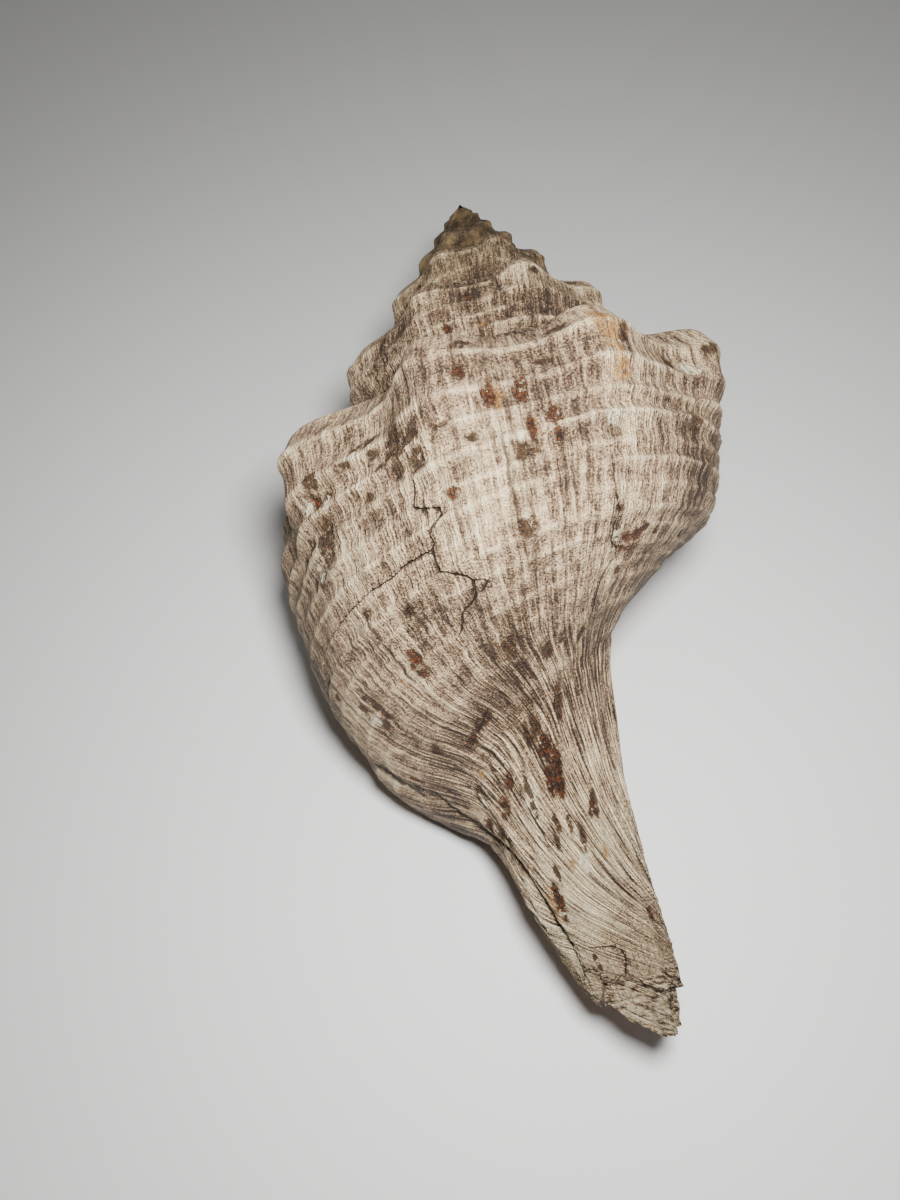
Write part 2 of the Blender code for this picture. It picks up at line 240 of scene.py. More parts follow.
# A growth line is straight down the last turn and sweeps back along the canal: v, turns swept
sweep = smooth_curve(((0.0, 0.0), (0.65, 0.0), (0.70, 0.015), (0.75, 0.04), (0.80, 0.085), (0.85, 0.15),
                      (0.90, 0.28), (0.95, 0.52), (1.0, 0.80)))


def ramp(value, low, high):
    t = np.clip((value - low) / (high - low), 0, 1)
    return t * t * (3 - 2 * t)


def between(value, rise, fall):
    """One between a rise and a fall, and nought outside them."""
    return ramp(value, *rise) * (1 - ramp(value, *fall))


def bell(off, width):
    """A bump of height one, by the distance off its middle. A pair of widths has one for each side."""
    if isinstance(width, tuple):
        width = np.where(off > 0, width[1], width[0])
    return np.exp(-(off / width) ** 2)


def lattice(x, y, seed):
    """A random number for each whole x and y."""
    n = x.astype(np.int64) * 374761393 + y.astype(np.int64) * 668265263 + seed * 1274126177
    n = ((n ^ (n >> 13)) & 0x7FFFFFFF) * 1103515245
    n = n ^ (n >> 16)
    return (n & 0xFFFFFF) / float(0xFFFFFF) * 2 - 1


def noise(x, y, seed=0):
    """Smooth random relief from -1 to 1, with a step of one in x and y."""
    x = np.asarray(x, float)
    y = np.asarray(y, float)
    x, y = np.broadcast_arrays(x, y)
    ix, iy = np.floor(x), np.floor(y)
    fx, fy = x - ix, y - iy
    fx = fx * fx * (3 - 2 * fx)
    fy = fy * fy * (3 - 2 * fy)
    low = lattice(ix, iy, seed) * (1 - fx) + lattice(ix + 1, iy, seed) * fx
    high = lattice(ix, iy + 1, seed) * (1 - fx) + lattice(ix + 1, iy + 1, seed) * fx
    return low * (1 - fy) + high * fy


def layered(x, y, layers, base=0):
    """The base with layers of noise on it."""
    return sum((height * noise(x * across, y * along, seed) for height, across, along, seed in layers), base)


ALL_KNOBS = list(LAST_KNOBS) + [(u - turn, h) for turn in range(int(TURNS)) for u, h in OLDER_KNOBS]


def knob_height(u):
    """Height of the knobs round the shoulder: each rises slowly and falls steeply."""
    return sum(height * bell(u - at, KNOB_ROUND) for at, height in ALL_KNOBS)


def knob_relief(u, v):
    return knob_height(u) * bell(v - KNOB_PLACE, KNOB_ALONG)


def plain_radius(u, v):
    share = 1 + swell(u) * (1 - ramp(v, *SWELL_FADES))
    share = share - LIP_TURNS_IN * ramp(u, LIP_TURNS_FROM, 0.0) * (1 - ramp(v, *LIP_TURN_FADES))
    return GROWTH ** (u * winding(v)) * edge_radius(v) * share


def distance(u, v):
    return GROWTH ** (u * winding(v)) * edge_distance(v)


def angle(u):
    return math.radians(LIP_ANGLE) - 2 * math.pi * u


def place(turn_angle, a, r):
    """Points from their angle round the axis, distance from the apex and radius."""
    return np.stack([r * np.cos(turn_angle) + bend(a), r * np.sin(turn_angle), -a * np.ones_like(r)], -1)


def rib_relief(u, v):
    """Low ribs that run down from the knobs, and the sharp keel that joins them."""
    ribs = RIB_SHARE * knob_height(u) * ramp(v, *RIB_RISES) * (1 - ramp(v, *RIB_FADES))
    return ribs + KEEL * bell(v - KEEL_PLACE, KEEL_HALF_WIDTH)


def off_cord(u, v, k):
    """How far a place is past the crest of cord number k, along the edge."""
    return v - CORDS[k][0] - CORD_WANDER * noise(u * WANDER_WAVES, 0 * u + k * WANDER_SHIFT, 5)


def cord_relief(u, v):
    total = 0.0
    for k, (at, height, width) in enumerate(CORDS):
        rough = 1
        for share, waves, shift, seed in CORD_ROUGH:
            rough = rough + share * noise(u * waves, 0 * u + k * shift, seed)
        total = total + CORD_SHARE * height * rough * bell(off_cord(u, v, k), width)
    worn = WORN_CORDS * ramp(u, *WORN_TURNS) * ramp(v, *WORN_PLACES)
    return total * (1 - worn)


# The groove's run, a few millimetres inside the lip: v, u
GROOVE = smooth_curve(((0.50, -0.045), (0.58, -0.080), (0.62, -0.090), (0.655, -0.080), (0.67, -0.088),
                       (0.69, -0.068),
                       (0.715, -0.058), (0.74, -0.075), (0.765, -0.105), (0.785, -0.135), (0.80, -0.152),
                       (0.82, -0.165), (0.85, -0.178), (0.88, -0.19), (0.95, -0.20)))


def growth_relief(u, v):
    """Ridges along the growing edge: faint on the shoulder, coarse like wood grain on the canal."""
    s = u + sweep(v)
    s = s + LINE_WANDER * noise(s * 11, v * 9, 21)
    lines = -np.clip(LINE_WIDTH - np.abs(noise(s * 85, v * 7, 25)), 0, 1) * LINE_DEPTH
    depth = GRAIN_DEPTH + LOWER_GRAIN * ramp(v, *LOWER_HALF) + CANAL_GRAIN * ramp(v, *CANAL)
    return depth * (layered(s, v, GRAIN) + lines * ramp(v, *LINES_SET_IN))


def lip_relief(u, v):
    off = u - GROOVE(v)
    width = GROOVE_HALF_WIDTH + GROOVE_WIDENS_BY * ramp(v, *GROOVE_WIDENS)
    flange = FLANGE * ramp(off, width, width * 3)
    groove = -GROOVE_DEPTH * bell(off, width) + flange * (1 - ramp(v, *FLANGE_ENDS))
    return between(v, GROOVE_STARTS, GROOVE_ENDS) * groove


# The outer layer of the canal ends in a jagged edge near the tip: u, v
LAYER_EDGE = ((-1.0, 0.955), (-0.60, 0.955), (-0.52, 0.951), (-0.47, 0.9485), (-0.43, 0.951),
              (-0.41, 0.947), (-0.385, 0.942), (-0.376, 0.9405), (-0.374, 0.9360), (-0.36, 0.933),
              (-0.345, 0.930), (-0.335, 0.926), (-0.30, 0.931), (-0.28, 0.934), (-0.26, 0.934),
              (-0.245, 0.929), (-0.235, 0.932), (-0.21, 0.942), (-0.19, 0.948), (-0.10, 0.950), (0.0, 0.955))
LAYER_STEP = 1.4
LAYER_NARROWS = 2.2
LAYER_COLUMNS = 180
LAYER_ROWS = 16
# The broken edge of the tip: u, v
TIP_EDGE = ((-1.0, 0.955), (-0.90, 0.975), (-0.75, 0.992), (-0.60, 0.995), (-0.50, 0.992), (-0.44, 0.998),
            (-0.41, 0.9955), (-0.38, 0.997), (-0.355, 0.993), (-0.335, 0.986), (-0.31, 0.982),
            (-0.285, 0.976), (-0.255, 0.973), (-0.24, 0.966), (-0.215, 0.956), (-0.19, 0.948),
            (-0.15, 0.944), (-0.08, 0.946), (0.0, 0.955))
TIP_COLUMNS = 150

# Cracks: the places of their run, and their width in millimetres
MAIN_CRACK = ((-0.2895, 0.352), (-0.286, 0.372), (-0.283, 0.389), (-0.288, 0.397), (-0.298, 0.402),
              (-0.300, 0.413), (-0.296, 0.418), (-0.290, 0.421), (-0.288, 0.426), (-0.2895, 0.434),
              (-0.288, 0.439), (-0.287, 0.476), (-0.290, 0.482), (-0.304, 0.509), (-0.307, 0.525),
              (-0.304, 0.550), (-0.294, 0.560), (-0.290, 0.568), (-0.283, 0.595))
RIGHT_CRACK = ((-0.411, 0.455), (-0.415, 0.485), (-0.413, 0.514), (-0.414, 0.546), (-0.420, 0.556),
               (-0.424, 0.580), (-0.417, 0.600), (-0.412, 0.630), (-0.414, 0.670))
SPIRAL_SCAR = ((-0.288, 0.441), (-0.265, 0.439), (-0.254, 0.444), (-0.237, 0.443), (-0.228, 0.446),
               (-0.191, 0.446), (-0.180, 0.444), (-0.167, 0.446), (-0.154, 0.451), (-0.144, 0.463))
CRACKS = (
    (MAIN_CRACK, 0.55),
    (RIGHT_CRACK, 0.40),
    (SPIRAL_SCAR, 0.42),
    (((-0.307, 0.522), (-0.3135, 0.528), (-0.3155, 0.537), (-0.310, 0.545)), 0.50),
    (((-0.256, 0.687), (-0.234, 0.694), (-0.2215, 0.694), (-0.204, 0.698)), 0.35),
    (((-0.3545, 0.912), (-0.348, 0.9055), (-0.331, 0.901), (-0.304, 0.899), (-0.273, 0.897)), 0.35),
    (((-0.3545, 0.912), (-0.346, 0.9205), (-0.334, 0.9255)), 0.45),
    (((-0.300, 0.9285), (-0.269, 0.932), (-0.254, 0.932), (-0.242, 0.928), (-0.246, 0.922),
      (-0.259, 0.921)), 0.30),
    (((-0.259, 0.921), (-0.242, 0.917), (-0.211, 0.914), (-0.196, 0.916)), 0.40),
    (((-0.225, 0.888), (-0.215, 0.898), (-0.207, 0.902), (-0.2035, 0.912)), 0.40),
    (((-0.219, 0.708), (-0.229, 0.730), (-0.261, 0.779), (-0.275, 0.805)), 0.45),
)
# A column or row of the mesh follows each of the longest: its own place, how far its pull reaches, the depth
COLUMN_CRACKS = ((MAIN_CRACK, -0.2925, 0.032, 1.1), (RIGHT_CRACK, -0.4155, 0.022, 0.7))
ROW_CRACKS = ((SPIRAL_SCAR, 0.4450, 0.040, 0.8),)
# Half width of the grooves in u and v, how far past its ends a crack pulls, and how its ends run out
COLUMN_GAP = 0.0006
ROW_GAP = 0.0018
COLUMN_EASE = 0.05
ROW_EASE = 0.04
COLUMN_ENDS = (0.002, 0.012, 0.012)
ROW_ENDS = (0.001, 0.004, 0.008)


def crack_line(run, by):
    """The crack's other coordinate, read by its u (0) or its v (1)."""
    points = np.array(sorted(run, key=lambda pair: pair[by]))
    return points[:, by], points[:, 1 - by]


def pulled(across, along, cracks, by, ease):
    """Moves one coordinate onto the cracks that its columns or rows follow."""
    for run, home, reach, depth in cracks:
        at, target = crack_line(run, by)
        share = np.clip(1 - np.abs(across - home) / reach, 0, 1)
        share = share * ramp(along, at[0] - ease, at[0]) * (1 - ramp(along, at[-1], at[-1] + ease))
        across = across + (np.interp(along, at, target) - home) * share
    return across


def follow_cracks(u, v):
    """Moves the mesh's columns and rows onto the cracks that they follow."""
    u = pulled(u, v, COLUMN_CRACKS, 1, COLUMN_EASE)
    return u, pulled(v, u, ROW_CRACKS, 0, ROW_EASE)


def grooved(across, along, cracks, by, gap, ends, rough, total):
    """Cuts a groove along each crack that the mesh follows."""
    outer, first, last = ends
    for run, home, reach, depth in cracks:
        at, target = crack_line(run, by)
        inside = between(along, (at[0] - outer, at[0] + first), (at[-1] - last, at[-1] + outer))
        groove = np.clip(1 - np.abs(across - np.interp(along, at, target)) / gap, 0, 1)
        total = total - depth * rough * inside * groove
    return total


def crack_relief(u, v):
    rough = 0.75 + 0.5 * noise(v * 160, 0 * u, 73)
    total = grooved(u, v, COLUMN_CRACKS, 1, COLUMN_GAP, COLUMN_ENDS, rough, 0.0)
    return grooved(v, u, ROW_CRACKS, 0, ROW_GAP, ROW_ENDS, 1, total)


# Stains and chips, by kind: u, v, half width in u, half length in v
RUST = (
    (-0.377, 0.337, 0.0041, 0.018), (-0.377, 0.365, 0.002, 0.018), (-0.36, 0.28, 0.0038, 0.02),
    (-0.341, 0.278, 0.0034, 0.018), (-0.327, 0.245, 0.003, 0.007), (-0.362, 0.352, 0.003, 0.018),
    (-0.309, 0.397, 0.0041, 0.006), (-0.217, 0.292, 0.0047, 0.011), (-0.434, 0.541, 0.0088, 0.014),
    (-0.436, 0.57, 0.0054, 0.007), (-0.44, 0.593, 0.0038, 0.006), (-0.425, 0.566, 0.0038, 0.006),
    (-0.325, 0.75, 0.0135, 0.007), (-0.341, 0.766, 0.0081, 0.01), (-0.192, 0.757, 0.0162, 0.007),
    (-0.316, 0.77, 0.0081, 0.007), (-0.108, 0.741, 0.0108, 0.007), (-0.106, 0.66, 0.0027, 0.009),
    (-0.215, 0.694, 0.0081, 0.005), (-0.2385, 0.572, 0.0034, 0.01), (-0.2375, 0.588, 0.0055, 0.014),
    (-0.235, 0.609, 0.004, 0.011), (-0.333, 0.776, 0.0095, 0.006), (-0.4, 0.802, 0.0108, 0.005),
    (-0.248, 0.844, 0.011, 0.014), (-0.238, 0.855, 0.01, 0.011), (-0.492, 0.889, 0.0162, 0.007),
    (-0.231, 0.749, 0.0108, 0.005),
)
AMBER = (
    (-0.326, 0.985, 0.03, 0.005), (-0.412, 0.215, 0.006, 0.016), (-0.419, 0.236, 0.008, 0.026),
    (-0.421, 0.28, 0.007, 0.02), (-0.2165, 0.6, 0.002, 0.006), (-0.183, 0.72, 0.006, 0.004),
    (-0.317, 0.827, 0.008, 0.004), (-0.4075, 0.832, 0.008, 0.004), (-0.205, 0.85, 0.015, 0.011),
    (-0.228, 0.846, 0.019, 0.015), (-0.365, 0.352, 0.0016, 0.02), (-0.345, 0.285, 0.003, 0.02),
)
BROWN = (
    (-0.311, 0.735, 0.012, 0.01), (-0.322, 0.757, 0.012, 0.012), (-0.338, 0.77, 0.011, 0.012),
    (-0.356, 0.381, 0.006, 0.009), (-0.377, 0.247, 0.0042, 0.005), (-0.4275, 0.242, 0.0035, 0.022),
    (-0.332, 0.202, 0.0045, 0.005), (-0.415, 0.48, 0.003, 0.009), (-0.35, 0.473, 0.006, 0.018),
    (-0.488, 0.36, 0.006, 0.02), (-0.51, 0.227, 0.006, 0.008), (-0.162, 0.611, 0.006, 0.008),
    (-0.2855, 0.297, 0.0075, 0.013), (-0.28, 0.275, 0.0065, 0.012), (-0.223, 0.27, 0.0028, 0.01),
    (-0.292, 0.341, 0.005, 0.012), (-0.256, 0.256, 0.0105, 0.004), (-0.262, 0.275, 0.0039, 0.005),
    (-0.243, 0.27, 0.0039, 0.005), (-0.22, 0.266, 0.0039, 0.009), (-0.225, 0.295, 0.0039, 0.008),
    (-0.293, 0.334, 0.0048, 0.019), (-0.278, 0.329, 0.0039, 0.014), (-0.254, 0.343, 0.0036, 0.011),
    (-0.216, 0.352, 0.0083, 0.027), (-0.212, 0.374, 0.0045, 0.016), (-0.2, 0.342, 0.0045, 0.014),
    (-0.199, 0.384, 0.0067, 0.014), (-0.433, 0.613, 0.0033, 0.008), (-0.509, 0.548, 0.0042, 0.008),
    (-0.3133, 0.651, 0.006, 0.016), (-0.354, 0.677, 0.007, 0.01), (-0.364, 0.73, 0.0083, 0.014),
    (-0.405, 0.68, 0.0039, 0.007), (-0.373, 0.672, 0.0033, 0.005), (-0.175, 0.584, 0.0045, 0.035),
    (-0.162, 0.566, 0.0036, 0.009), (-0.172, 0.673, 0.0075, 0.005), (-0.148, 0.727, 0.015, 0.01),
    (-0.208, 0.738, 0.0045, 0.01), (-0.295, 0.735, 0.0045, 0.01), (-0.263, 0.911, 0.0063, 0.008),
    (-0.241, 0.692, 0.015, 0.005),
)
# Brown stains of one size, by half width and half length: u, v
SAME_BROWN = {
    (0.006, 0.007): (
        (-0.39, 0.208), (-0.268, 0.302), (-0.091, 0.657),
    ),
    (0.0042, 0.007): (
        (-0.312, 0.307), (-0.444, 0.529), (-0.193, 0.496),
    ),
    (0.0033, 0.007): (
        (-0.327, 0.339), (-0.188, 0.384), (-0.18, 0.338), (-0.461, 0.539), (-0.255, 0.509),
        (-0.226, 0.466),
    ),
    (0.0045, 0.008): (
        (-0.475, 0.25), (-0.293, 0.29), (-0.276, 0.29),
    ),
    (0.0054, 0.01): (
        (-0.268, 0.761), (-0.27, 0.773), (-0.296, 0.808),
    ),
    (0.0036, 0.007): (
        (-0.143, 0.477), (-0.125, 0.477), (-0.143, 0.509),
    ),
    (0.0072, 0.01): (
        (-0.319, 0.772), (-0.411, 0.8), (-0.359, 0.814),
    ),
    (0.0054, 0.008): (
        (-0.338, 0.8), (-0.307, 0.796), (-0.269, 0.828),
    ),
}
BROWN += tuple((*at, *size) for size, places in SAME_BROWN.items() for at in places)
CHIPS = (
    (-0.492, 0.256, 0.0062, 0.009), (-0.415, 0.36, 0.0062, 0.012), (-0.211, 0.29, 0.0038, 0.009),
    (-0.199, 0.381, 0.0038, 0.009), (-0.418, 0.534, 0.0046, 0.009), (-0.16, 0.597, 0.0049, 0.009),
    (-0.346, 0.833, 0.0125, 0.007), (-0.225, 0.301, 0.0034, 0.008), (-0.148, 0.731, 0.0062, 0.007),
)
# Dark growth lines that stand out: u, first and last v, half width in u, strength
DARK_LINES = (
    (-0.344, 0.340, 0.475, 0.0012, 0.8), (-0.352, 0.500, 0.580, 0.0012, 0.8),
    (-0.375, 0.550, 0.620, 0.0012, 0.6), (-0.392, 0.490, 0.530, 0.0012, 0.6),
    (-0.251, 0.340, 0.410, 0.0012, 0.7), (-0.251, 0.530, 0.560, 0.0012, 0.6),
    (-0.224, 0.450, 0.620, 0.0014, 1.0), (-0.213, 0.450, 0.600, 0.0012, 0.7),
    (-0.202, 0.450, 0.520, 0.0012, 0.7), (-0.202, 0.600, 0.720, 0.0014, 0.9),
    (-0.181, 0.450, 0.700, 0.0014, 0.7), (-0.167, 0.460, 0.700, 0.0012, 0.6),
    (-0.150, 0.450, 0.700, 0.0014, 0.8), (-0.287, 0.600, 0.700, 0.0012, 0.6),
    (-0.480, 0.400, 0.640, 0.0016, 0.6), (-0.455, 0.380, 0.520, 0.0014, 0.5),
    (-0.500, 0.380, 0.600, 0.0020, 0.6), (-0.206, 0.720, 0.860, 0.0018, 0.7),
)
MASKS = ("tone", "stained", "strata", "veined", "old", "rust", "amber", "brown", "chips", "groove",
         "to_crack", "near_crack", "to_line", "line_share")
RANDOM_STAINS = 150
STAIN_SEED = 11
# Depth of the pits under the stains, and how uneven their ground is
RUST_PIT = 0.8
BROWN_PIT = 0.45
PIT_ROUGH = 0.7
FAR = 99.0
# Tones: the pale crest, partly worn and partly painted highlight, and the darker strip past it, partly stain
# and partly painted shade under the cord, in half widths of the cord, the knob whose nose is worn palest in
# millimetres, the stained halo in half widths of the crack, and the darkening along the groove in u
CREST_WIDTH = 0.38
STAIN_AND_SHADE_PAST = 1.5
STAIN_AND_SHADE_WIDTH = 0.9
TALL_KNOB = 12
HALO = 5
GROOVE_DARK_WIDTH = 0.006


def soft_spots(u, v, spots):
    """How much of a spot each place has, from 0 to about 1."""
    total = np.zeros(len(u))
    for at_u, at_v, wide, long in spots:
        near = (np.abs(u - at_u) < 3 * wide) & (np.abs(v - at_v) < 3 * long)
        share = np.exp(-((u[near] - at_u) / wide) ** 2 - ((v[near] - at_v) / long) ** 2)
        total[near] = np.maximum(total[near], share)
    return total


def stain_relief(u, v):
    """Stains sit in pits that are eaten into the skin."""
    flat_u, flat_v = np.ravel(u), np.ravel(v)
    depth = RUST_PIT * soft_spots(flat_u, flat_v, RUST) + BROWN_PIT * soft_spots(flat_u, flat_v, BROWN)
    return -(depth * (1 + PIT_ROUGH * noise(flat_u * 700, flat_v * 350, 34))).reshape(np.shape(u))


def outside_radius(u, v):
    scale = GROWTH ** (u * winding(v))
    relief = knob_relief(u, v) + rib_relief(u, v) + cord_relief(u, v) + layered(u, v, LUMPS) - CORD_MEAN
    relief = relief + stain_relief(*np.broadcast_arrays(u, v))
    fine = growth_relief(u, v) * np.maximum(scale, 0.25)
    last_turn = ramp(u, -1.02, -0.98)
    return plain_radius(u, v) + scale * relief + fine + last_turn * (lip_relief(u, v) + crack_relief(u, v))


def outside(u, v):
    """Points of the outer surface, in millimetres, in the shell's own frame."""
    ragged = LIP_RAGGED * layered(v, 0 * v, RAGGED_LIP) * ramp(u, -0.04, 0.0)
    return place(angle(u + ragged), distance(u, v), outside_radius(u, v))


def seam_place():
    v = np.linspace(0, 0.6, 2401)
    return float(v[np.argmin(abs(edge_distance(v) - GROWTH * edge_distance(0.0)))])


def spaced(start, end, step):
    count = max(1, round(abs(end - start) / step))
    return [start + (end - start) * k / count for k in range(count)]


def column_steps():
    """Growth steps of one turn: close together on the upper side and at cracks, wider underneath."""
    steps = spaced(0.0, FINE_FROM, LIP_STEP)
    start = FINE_FROM
    for run, home, reach, depth in COLUMN_CRACKS:
        steps += spaced(start, home + COLUMN_GAP, FINE_STEP) + [home + COLUMN_GAP, home]
        start = home - COLUMN_GAP
    return steps + spaced(start, FINE_TO, FINE_STEP) + spaced(FINE_TO, -1.0, UNDER_STEP)


def length_along():
    """Real length along the edge, in millimetres, where the shell is widest on its upper side."""
    v = np.linspace(0, 1, 1001)
    points = place(angle(MIDDLE), distance(MIDDLE, v), plain_radius(MIDDLE, v))
    return v, np.concatenate([[0], np.cumsum(np.linalg.norm(np.diff(points, axis=0), axis=1))])


def rows_by_length(start, end, step):
    v, along = length_along()
    low, high = np.interp([start, end], v, along)
    count = max(1, round((high - low) / step))
    return list(np.interp(np.linspace(low, high, count, endpoint=False), along, v))


def fine_rows():
    rows = rows_by_length(0.0, SHOULDER, SHOULDER_ROW)
    start = SHOULDER
    for run, home, reach, depth in ROW_CRACKS:
        rows += rows_by_length(start, home - ROW_GAP, FINE_ROW) + [home - ROW_GAP, home]
        start = home + ROW_GAP
    return rows + rows_by_length(start, 1.0, FINE_ROW) + [1.0]


FINE_ROWS = fine_rows()
COARSE_ROWS = FINE_ROWS[0:-1:2] + [1.0]


def mesh_object(name, points, faces):
    """A mesh from points in millimetres and faces of (place, vertex, u, v) corners."""
    mesh = bpy.data.meshes.new(name)
    mesh.from_pydata([tuple(p) for p in points * MM], [], [[corner[1] for corner in face] for face in faces])
    layer = mesh.uv_layers.new(name="growth")
    layer.data.foreach_set("uv", [value for face in faces for corner in face for value in corner[2:4]])
    made = bpy.data.objects.new(name, mesh)
    bpy.context.scene.collection.objects.link(made)
    bpy.ops.object.select_all(action="DESELECT")
    bpy.context.view_layer.objects.active = made
    made.select_set(True)
    bpy.ops.object.mode_set(mode="EDIT")
    bpy.ops.mesh.select_all(action="SELECT")
    bpy.ops.mesh.normals_make_consistent(inside=False)
    bpy.ops.object.mode_set(mode="OBJECT")
    made.data.transform(REST)
    return made


def zip_runs(left, right):
    """Faces between two runs of (place, vertex, u, v), stepping along both by place."""
    faces = []
    i = j = 0
    while i < len(left) - 1 or j < len(right) - 1:
        left_next = left[i + 1][0] if i < len(left) - 1 else math.inf
        right_next = right[j + 1][0] if j < len(right) - 1 else math.inf
        if abs(left_next - right_next) < 1e-9:
            face = [left[i], left[i + 1], right[j + 1], right[j]]
            i += 1
            j += 1
        elif left_next < right_next:
            face = [left[i], left[i + 1], right[j]]
            i += 1
        else:
            face = [left[i], right[j + 1], right[j]]
            j += 1
        if len(set(corner[1] for corner in face)) == len(face):
            faces.append(face)
        elif len(face) == 4:
            found = []
            for corner in face:
                if corner[1] not in [other[1] for other in found]:
                    found.append(corner)
            faces.append(found)
    return faces


def solid_of_growth():
    """The closed solid inside the outer surface, with a flat wall at the lip.

    No operator winds a sheet onto itself, so it is made point by point from the growth.
    """
    steps = column_steps()
    per_turn = len(steps)
    seam = seam_place()
    last = int(TURNS * per_turn)
    us, vs, columns = [], [], []
    for i in range(last + 1):
        u = steps[i % per_turn] - i // per_turn
        if i < per_turn:
            fine = FINE_TO - 1e-6 < u < FINE_FROM + 1e-6
            places = FINE_ROWS if fine else COARSE_ROWS
        elif i == per_turn:
            places = sorted([v for v in COARSE_ROWS if abs(v - seam) > 0.003] + [seam])
        else:
            count = SPIRE_ROWS[min((i - 1) // per_turn - 1, len(SPIRE_ROWS) - 1)]
            places = [seam * k / count for k in range(count)]
        run = []
        for v in places:
            if i == per_turn and v == seam:
                vertex = columns[0][0][1]
            elif i == per_turn and v == 1.0:
                vertex = columns[0][-1][1]
            else:
                vertex = len(us)
                us.append(u)
                vs.append(v)
            run.append((v, vertex, u, v))
        if i > per_turn:
            run.append((seam, columns[i - per_turn][0][1], u, seam))
        columns.append(run)

    us, vs = follow_cracks(np.array(us), np.array(vs))
    points = list(outside(us, vs))
    for run in columns:
        run[:] = [(c[0], c[1], float(us[c[1]]), float(vs[c[1]])) if c[2] > -1 else c for c in run]
    faces = []
    for i in range(last):
        later, earlier = columns[i], columns[i + 1]
        if i == per_turn:
            later = [corner for corner in later if corner[0] <= seam]
        faces += zip_runs(later, earlier)
    lip = [(float(distance(0.0, c[3])), c[1], 0.0, c[3]) for c in columns[0]]
    inner = [(float(distance(-1.0, c[3])), c[1], 0.0, c[3]) for c in columns[per_turn] if c[0] >= seam]
    faces += zip_runs(inner, lip)

    tip = (0, len(points), MIDDLE, 1.0)
    points.append(place(0.0, LENGTH + 0.5, np.array(0.0)))
    ring = [columns[i][-1] for i in range(per_turn + 1)]
    faces += [[tip, a, b] for a, b in zip(ring, ring[1:])]
    apex = (0, len(points), -TURNS, 0.0)
    points.append(place(0.0, float(distance(-TURNS, 0.0)) * APEX_SHARE, np.array(0.0)))
    ring = [columns[i][0] for i in range(last - per_turn, last + 1)] + columns[last][1:]
    faces += [[apex, a, b] for a, b in zip(ring, ring[1:])]
    return mesh_object("shell_skin", np.array(points), faces)


def radius_profile(u, a):
    """Plain radius at growth step u, read at distances a from the apex."""
    v = np.linspace(0, 1, 401)
    along = np.maximum.accumulate(distance(u, v) + v * 1e-3)
    return np.interp(a, along, plain_radius(u, v))


def hollow_section(u):
    """One section of the hollow, across the growth, as (a, r) pairs round its outline."""
    at_edge = min(u, 0.0)
    a = np.linspace(float(distance(at_edge, 0.0)), BORE_FROM + 30.0, 400)
    outer = radius_profile(at_edge, a)
    slope = np.gradient(outer, a)
    wall = WALL_AT_LIP + (WALL_INSIDE - WALL_AT_LIP) * ramp(-u, 0.0, LIP_THICKENS_IN)
    outer = outer - wall * np.sqrt(1 + np.clip(slope, -3, 3) ** 2)
    inner = radius_profile(u - 1.0, a)
    base = float(distance(u - 1.0, 0.60))
    inner = inner + GLAZE - COLUMELLA_CARVED * ramp(-u, 0.0, 0.12) * ramp(a, base, base + 25.0)
    inner = np.maximum(inner, 7.0)
    open_here = np.nonzero(outer > inner + 1.0)[0]
    first, last = a[open_here[0]], a[open_here[-1]]
    t = (1 - np.cos(np.linspace(0, math.pi, SECTION_POINTS))) / 2
    along = first + (last - first) * t
    there = np.stack([along, np.interp(along, a, outer)], -1)
    back = np.stack([along[::-1], np.interp(along[::-1], a, inner)], -1)
    return np.concatenate([there, back])


def loft(name, sections, growth=None, closed=False):
    """A solid through sections of as many points each: capped at both ends, or closed in a ring."""
    count = len(sections[0])
    steps = len(sections)
    points = np.concatenate(sections)
    places = [(0.0, 0.0)] * len(points) if growth is None else [pair for run in growth for pair in run]

    def corner(k, n):
        index = (k % steps) * count + n % count
        u, v = places[index]
        return (0, index, u - 1.0 if k == steps else u, v)

    faces = []
    for k in range(steps if closed else steps - 1):
        faces += [[corner(k, n), corner(k, n + 1), corner(k + 1, n + 1), corner(k + 1, n)]
                  for n in range(count)]
    if not closed:
        faces.append([corner(0, n) for n in range(count - 1, -1, -1)])
        faces.append([corner(steps - 1, n) for n in range(count)])
    return mesh_object(name, points, faces)


def hollow():
    """The space inside the last turn, from just outside the lip back into the shell."""
    sections = []
    for u in np.linspace(HOLLOW_START, HOLLOW_END, HOLLOW_SECTIONS):
        pairs = hollow_section(u)
        sections.append(place(angle(u), pairs[:, 0], pairs[:, 1]))
    return loft("hollow", sections)


def slot_angle(a):
    t = np.clip((a - SLOT_FROM) / (LENGTH - SLOT_FROM), 0, 1)
    return math.radians(SLOT_ANGLES[0] + (SLOT_ANGLES[1] - SLOT_ANGLES[0]) * t)


def canal_bore():
    """The bore of the canal, from the hollow out through the tip."""
    turns = np.linspace(0, 2 * math.pi, BORE_SIDES, endpoint=False)
    circle = BORE_RADIUS * np.stack([np.cos(turns), np.sin(turns), 0 * turns], -1)
    sections = [place(slot_angle(a), a, np.array(BORE_OFF_AXIS)) + circle
                for a in np.linspace(BORE_FROM, LENGTH + 12.0, CANAL_SECTIONS)]
    return loft("canal_bore", sections)


def canal_slot():
    """The long slot that opens the canal along its underside."""
    sections = []
    for a in np.linspace(SLOT_FROM, LENGTH + 9.0, CANAL_SECTIONS):
        out = slot_angle(a)
        side = np.array([-math.sin(out), math.cos(out), 0]) * SLOT_WIDTH / 2
        near = place(out, a, np.array(BORE_OFF_AXIS))
        far = place(out, a, np.array(SLOT_REACH))
        sections.append(np.array([near - side, far - side, far + side, near + side]))
    return loft("canal_slot", sections)


